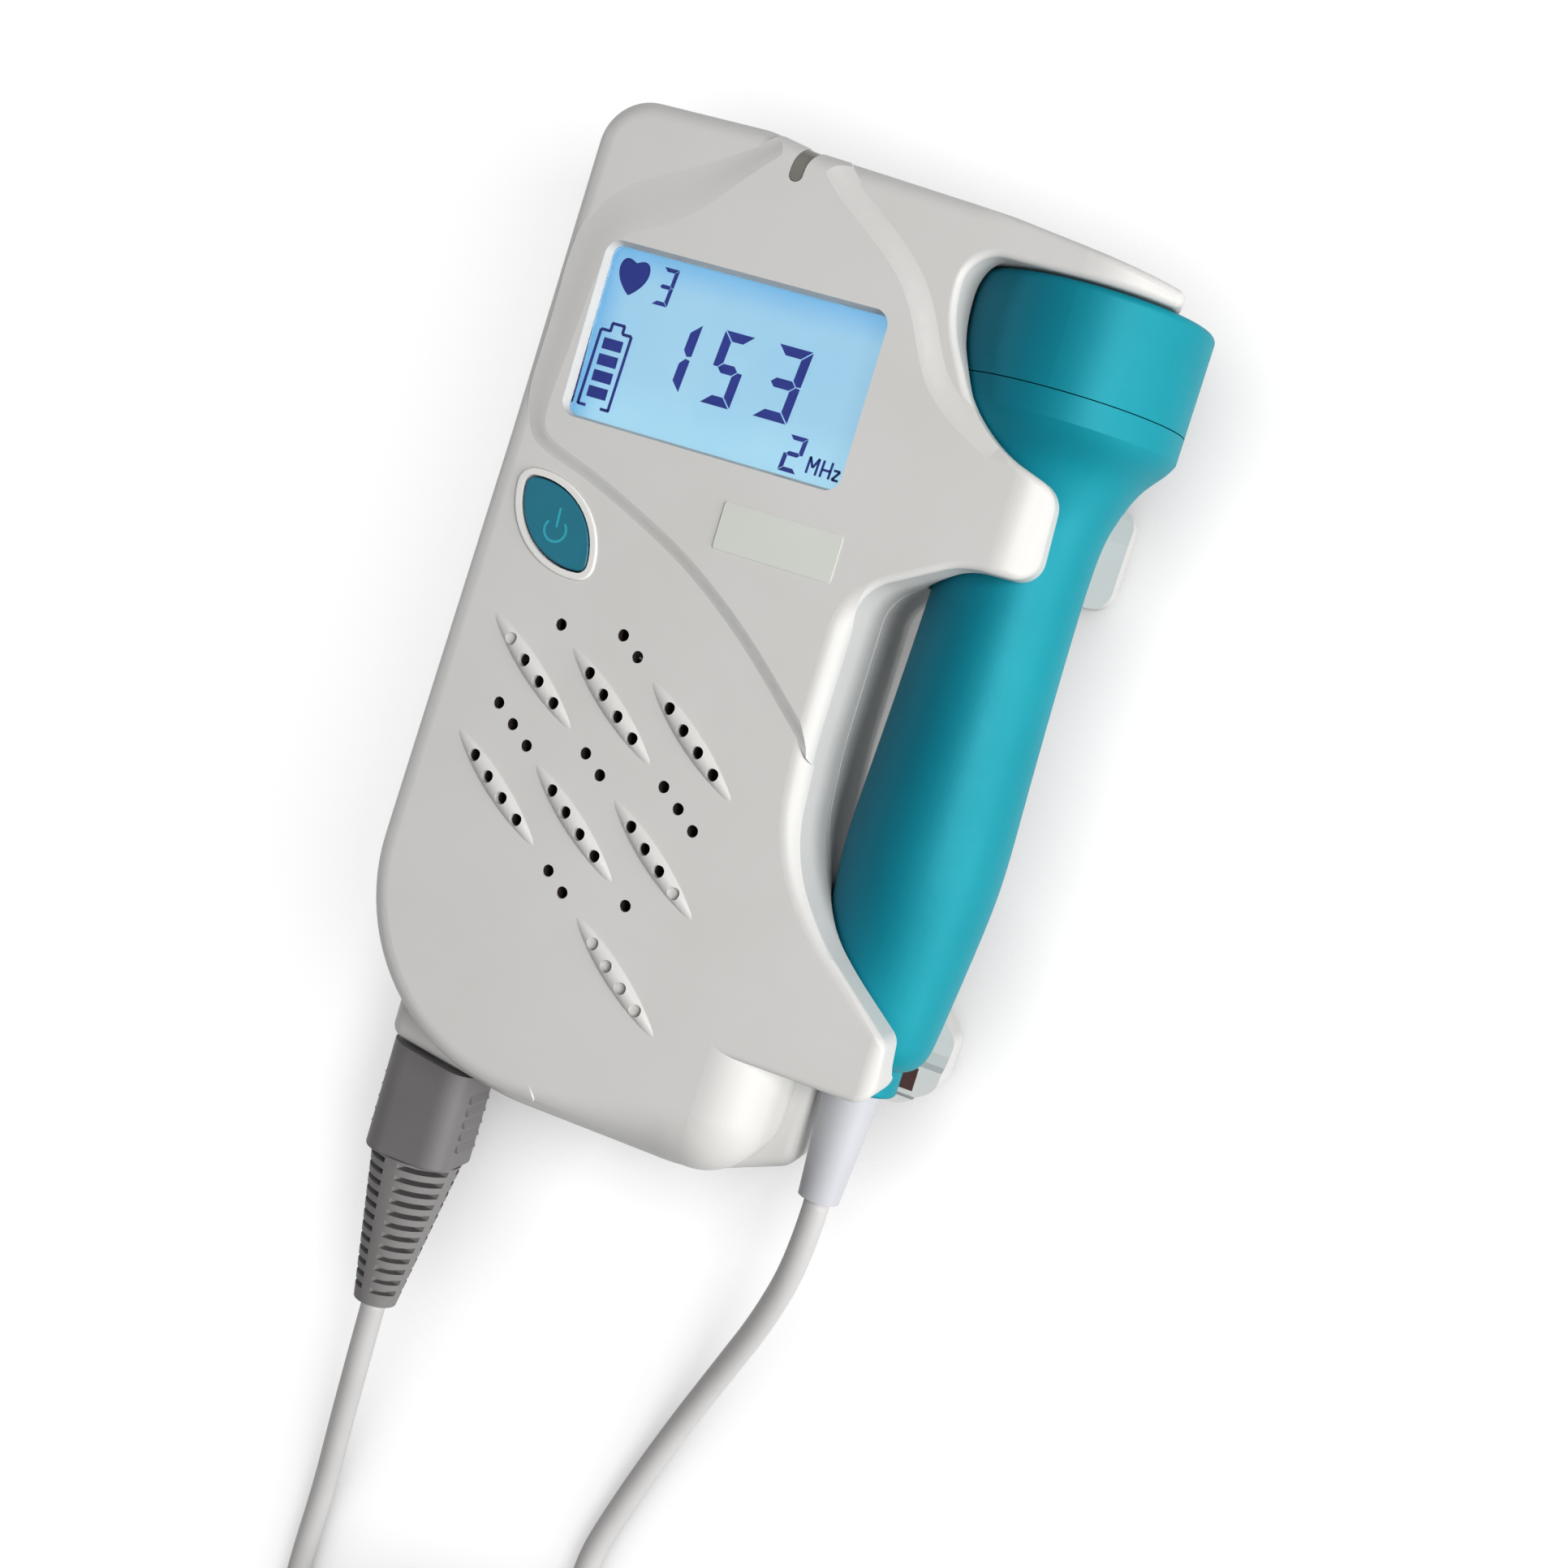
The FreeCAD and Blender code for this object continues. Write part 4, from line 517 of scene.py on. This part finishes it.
def coil_route():
    """Nine turns in three columns and three layers, from the probe's lead to the plug's lead."""
    columns_and_layers = [(2, 0), (1, 0), (0, 0), (0, 1), (0, 2), (1, 2), (1, 1), (2, 1), (2, 2)]
    wanted = []
    for column, layer in columns_and_layers:
        wanted.append((COIL_R + (column - 1) * CORD_D, COIL_BASE + CORD_D * (layer + 0.5)))
    points = [(PROBE_JOIN_X - 0.2, COIL_Y + JOIN_LAP, FLOOR_LINE)]
    total = len(wanted) * TURN_STEPS + TURN_STEPS // 2
    for k in range(total + 1):
        turn = k / TURN_STEPS
        index = min(int(turn), len(wanted) - 1)
        r, z = wanted[index]
        if index > 0 and turn - index < CHANGE:
            blend = (turn - index) / CHANGE
            before_r, before_z = wanted[index - 1]
            r = before_r + (r - before_r) * blend
            z = before_z + (z - before_z) * blend
        if turn < CHANGE:
            start = 1 - turn / CHANGE
            r += (PROBE_JOIN_X - COIL_X - r) * start
            z += (FLOOR_LINE - z) * start
        left = (total - k) / TURN_STEPS
        if left < CHANGE:
            end = 1 - left / CHANGE
            r += (COIL_X - PLUG_JOIN_X - r) * end
            z += (FLOOR_LINE - z) * end
        a = -2 * math.pi * turn
        points.append((COIL_X + r * math.cos(a), COIL_Y + r * math.sin(a), z))
    points.append((PLUG_JOIN_X - 0.08, COIL_Y + JOIN_LAP, FLOOR_LINE))
    return points


def route_spline(name, points):
    """A NURBS curve with no thickness through the route's control points."""
    curve = bpy.data.curves.new(name + "_route", "CURVE")
    curve.dimensions = "3D"
    spline = curve.splines.new("NURBS")
    spline.points.add(len(points) - 1)
    for point, place in zip(spline.points, points):
        point.co = (place[0] * MM, place[1] * MM, place[2] * MM, 1.0)
    spline.order_u = 3
    spline.use_endpoint_u = True
    curve.resolution_u = 12
    return curve


def centre_line(name, points):
    """The points that the route's NURBS spline follows."""
    holder = bpy.data.objects.new(name + "_line", route_spline(name, points))
    bpy.context.scene.collection.objects.link(holder)
    bpy.context.view_layer.update()
    mesh = bpy.data.meshes.new_from_object(holder.evaluated_get(bpy.context.evaluated_depsgraph_get()))
    line = [vertex.co.copy() for vertex in mesh.vertices]
    bpy.data.objects.remove(holder)
    return line


TUBE_SIDES = 20


def tube_mesh(name, line, radius):
    """A round tube along a line, closed at both ends."""
    build = bmesh.new()
    rings = []
    side = Vector((0, 0, 1)).cross(line[1] - line[0]).normalized()
    for k, here in enumerate(line):
        ahead = line[min(k + 1, len(line) - 1)] - line[max(k - 1, 0)]
        ahead.normalize()
        side = (side - ahead * side.dot(ahead)).normalized()
        up = ahead.cross(side)
        ring = []
        for s in range(TUBE_SIDES):
            a = 2 * math.pi * s / TUBE_SIDES
            ring.append(build.verts.new(here + (side * math.cos(a) + up * math.sin(a)) * radius))
        rings.append(ring)
    for first, second in zip(rings, rings[1:]):
        for s in range(TUBE_SIDES):
            t = (s + 1) % TUBE_SIDES
            build.faces.new((first[s], first[t], second[t], second[s]))
    build.faces.new(list(reversed(rings[0])))
    build.faces.new(rings[-1])
    bmesh.ops.recalc_face_normals(build, faces=build.faces)
    mesh = bpy.data.meshes.new(name)
    build.to_mesh(mesh)
    build.free()
    for face in mesh.polygons:
        face.use_smooth = len(face.vertices) == 4
    return mesh


def lead(name, route, node):
    """One visible stretch of the lead, a fixed tube along its route from its end to the coil."""
    line = centre_line(name, route)
    mesh = tube_mesh(name, line, CORD_R)
    mesh.materials.append(cord_rubber)
    piece = bpy.data.objects.new(name, mesh)
    bpy.context.scene.collection.objects.link(piece)
    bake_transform(piece)
    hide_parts(node)
    return piece, line


probe_lead, probe_line = lead(
    "probe_lead", PROBE_ROUTE, "probe_cord")
plug_lead, plug_line = lead(
    "plug_lead", PLUG_ROUTE, "plug_cord")

coil_curve = route_spline("coiled_lead", coil_route())
coil_curve.resolution_u = 4
coil_curve.bevel_depth = CORD_R * 0.995
coil_curve.bevel_resolution = 6
coil_curve.use_fill_caps = True
coil_curve.materials.append(cord_rubber)
coiled_lead = bpy.data.objects.new("coiled_lead", coil_curve)
bpy.context.scene.collection.objects.link(coiled_lead)
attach(coiled_lead, "root")
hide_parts("cord_coil")


# ---------------------------------------------------------------- floor, light and camera
FLOOR_HALF = 2.5
FLOOR_COLOUR = (0.26, 0.26, 0.262, 1.0)
FLOOR_GLOW = 0.84            # how white the floor shows in the open
CONTACT_SHADOW_GLOW = 0.12          # and where a piece stands on it, in the painted contact shadow
CONTACT_SHADOW_REACH = 18 * MM
SKY_SHOWN = 0.87             # the world as the camera and clear pieces see it, as white as the far floor
SKY_MIRRORED = 0.16
SKY_LIGHT = 0.11
LIGHT_AIM = (0, 0, 0.01)


def stage_floor():
    """A pale floor that shows white, with the object's shadows and a painted soft contact shadow where it is
    touched.
    """
    mesh = bpy.data.meshes.new("floor")
    half = FLOOR_HALF
    corners = [(-half, -half, 0), (half, -half, 0), (half, half, 0), (-half, half, 0)]
    mesh.from_pydata(corners, [], [(0, 1, 2, 3)])
    floor = bpy.data.objects.new("floor", mesh)
    bpy.context.scene.collection.objects.link(floor)
    n = Nodes("floor_white")
    n.set(Base_Color=FLOOR_COLOUR, Roughness=0.9, Specular_IOR_Level=0.05)
    rays = n.add("ShaderNodeLightPath").outputs
    seen = maths(n.tree, "MAXIMUM", rays["Is Camera Ray"], rays["Is Transmission Ray"])
    mirrored = maths(n.tree, "MAXIMUM", seen, rays["Is Glossy Ray"])
    # painted contact shadow: the floor's glow drops near pieces by ambient occlusion
    contact_shadow = n.add("ShaderNodeAmbientOcclusion", samples=8)
    contact_shadow.inputs["Distance"].default_value = CONTACT_SHADOW_REACH
    glow = maths(n.tree, "MULTIPLY", mirrored, n.span(contact_shadow.outputs["AO"], CONTACT_SHADOW_GLOW, FLOOR_GLOW))
    n.set(Emission_Color=(1.0, 1.0, 1.0, 1.0))
    n.link(glow, n.shader.inputs["Emission Strength"])
    mesh.materials.append(n.material)


def stage_world():
    """A dim even world that shows pale behind the floor."""
    world = bpy.data.worlds.new("studio")
    bpy.context.scene.world = world
    world.use_nodes = True
    background = world.node_tree.nodes["Background"]
    background.inputs["Color"].default_value = (1.0, 1.0, 1.0, 1.0)
    tree = world.node_tree
    rays = tree.nodes.new("ShaderNodeLightPath").outputs
    seen = maths(tree, "MAXIMUM", rays["Is Camera Ray"], rays["Is Transmission Ray"])
    shown = maths(tree, "MULTIPLY", seen, SKY_SHOWN)
    mirrored = maths(tree, "MULTIPLY", rays["Is Glossy Ray"], SKY_MIRRORED)
    level = maths(tree, "MAXIMUM", maths(tree, "MAXIMUM", shown, mirrored), SKY_LIGHT)
    tree.links.new(level, background.inputs["Strength"])


def area_light(name, place, size, power):
    data = bpy.data.lights.new(name, "AREA")
    data.energy = power
    data.size = size
    light = bpy.data.objects.new(name, data)
    light.location = place
    direction = Vector(LIGHT_AIM) - Vector(place)
    light.rotation_euler = direction.to_track_quat("-Z", "Y").to_euler()
    bpy.context.scene.collection.objects.link(light)


def stage_lights():
    area_light("key", (0.61, 0.10, 0.74), 0.4, 7.2)
    area_light("side", (0.90, -0.145, 0.30), 0.5, 5.5)
    area_light("fill", (-0.87, 0.09, 0.22), 0.6, 2.8)


def stage_camera():
    data = bpy.data.cameras.new("camera")
    data.sensor_width = 36.0
    data.lens = 48.447
    camera = bpy.data.objects.new("camera", data)
    right = Vector((0.9152, 0.2906, -0.2793)).normalized()
    back = Vector((0.2609, 0.1011, 0.9601)).normalized()
    up = back.cross(right).normalized()
    right = up.cross(back)
    turn = Matrix((right, up, back)).transposed()
    camera.matrix_world = Matrix.Translation(Vector((98.852, 13.760, 302.715)) * MM) @ turn.to_4x4()
    bpy.context.scene.collection.objects.link(camera)
    bpy.context.scene.camera = camera


stage_floor()
stage_world()
stage_lights()
stage_camera()
bpy.context.scene.view_settings.view_transform = "Standard"
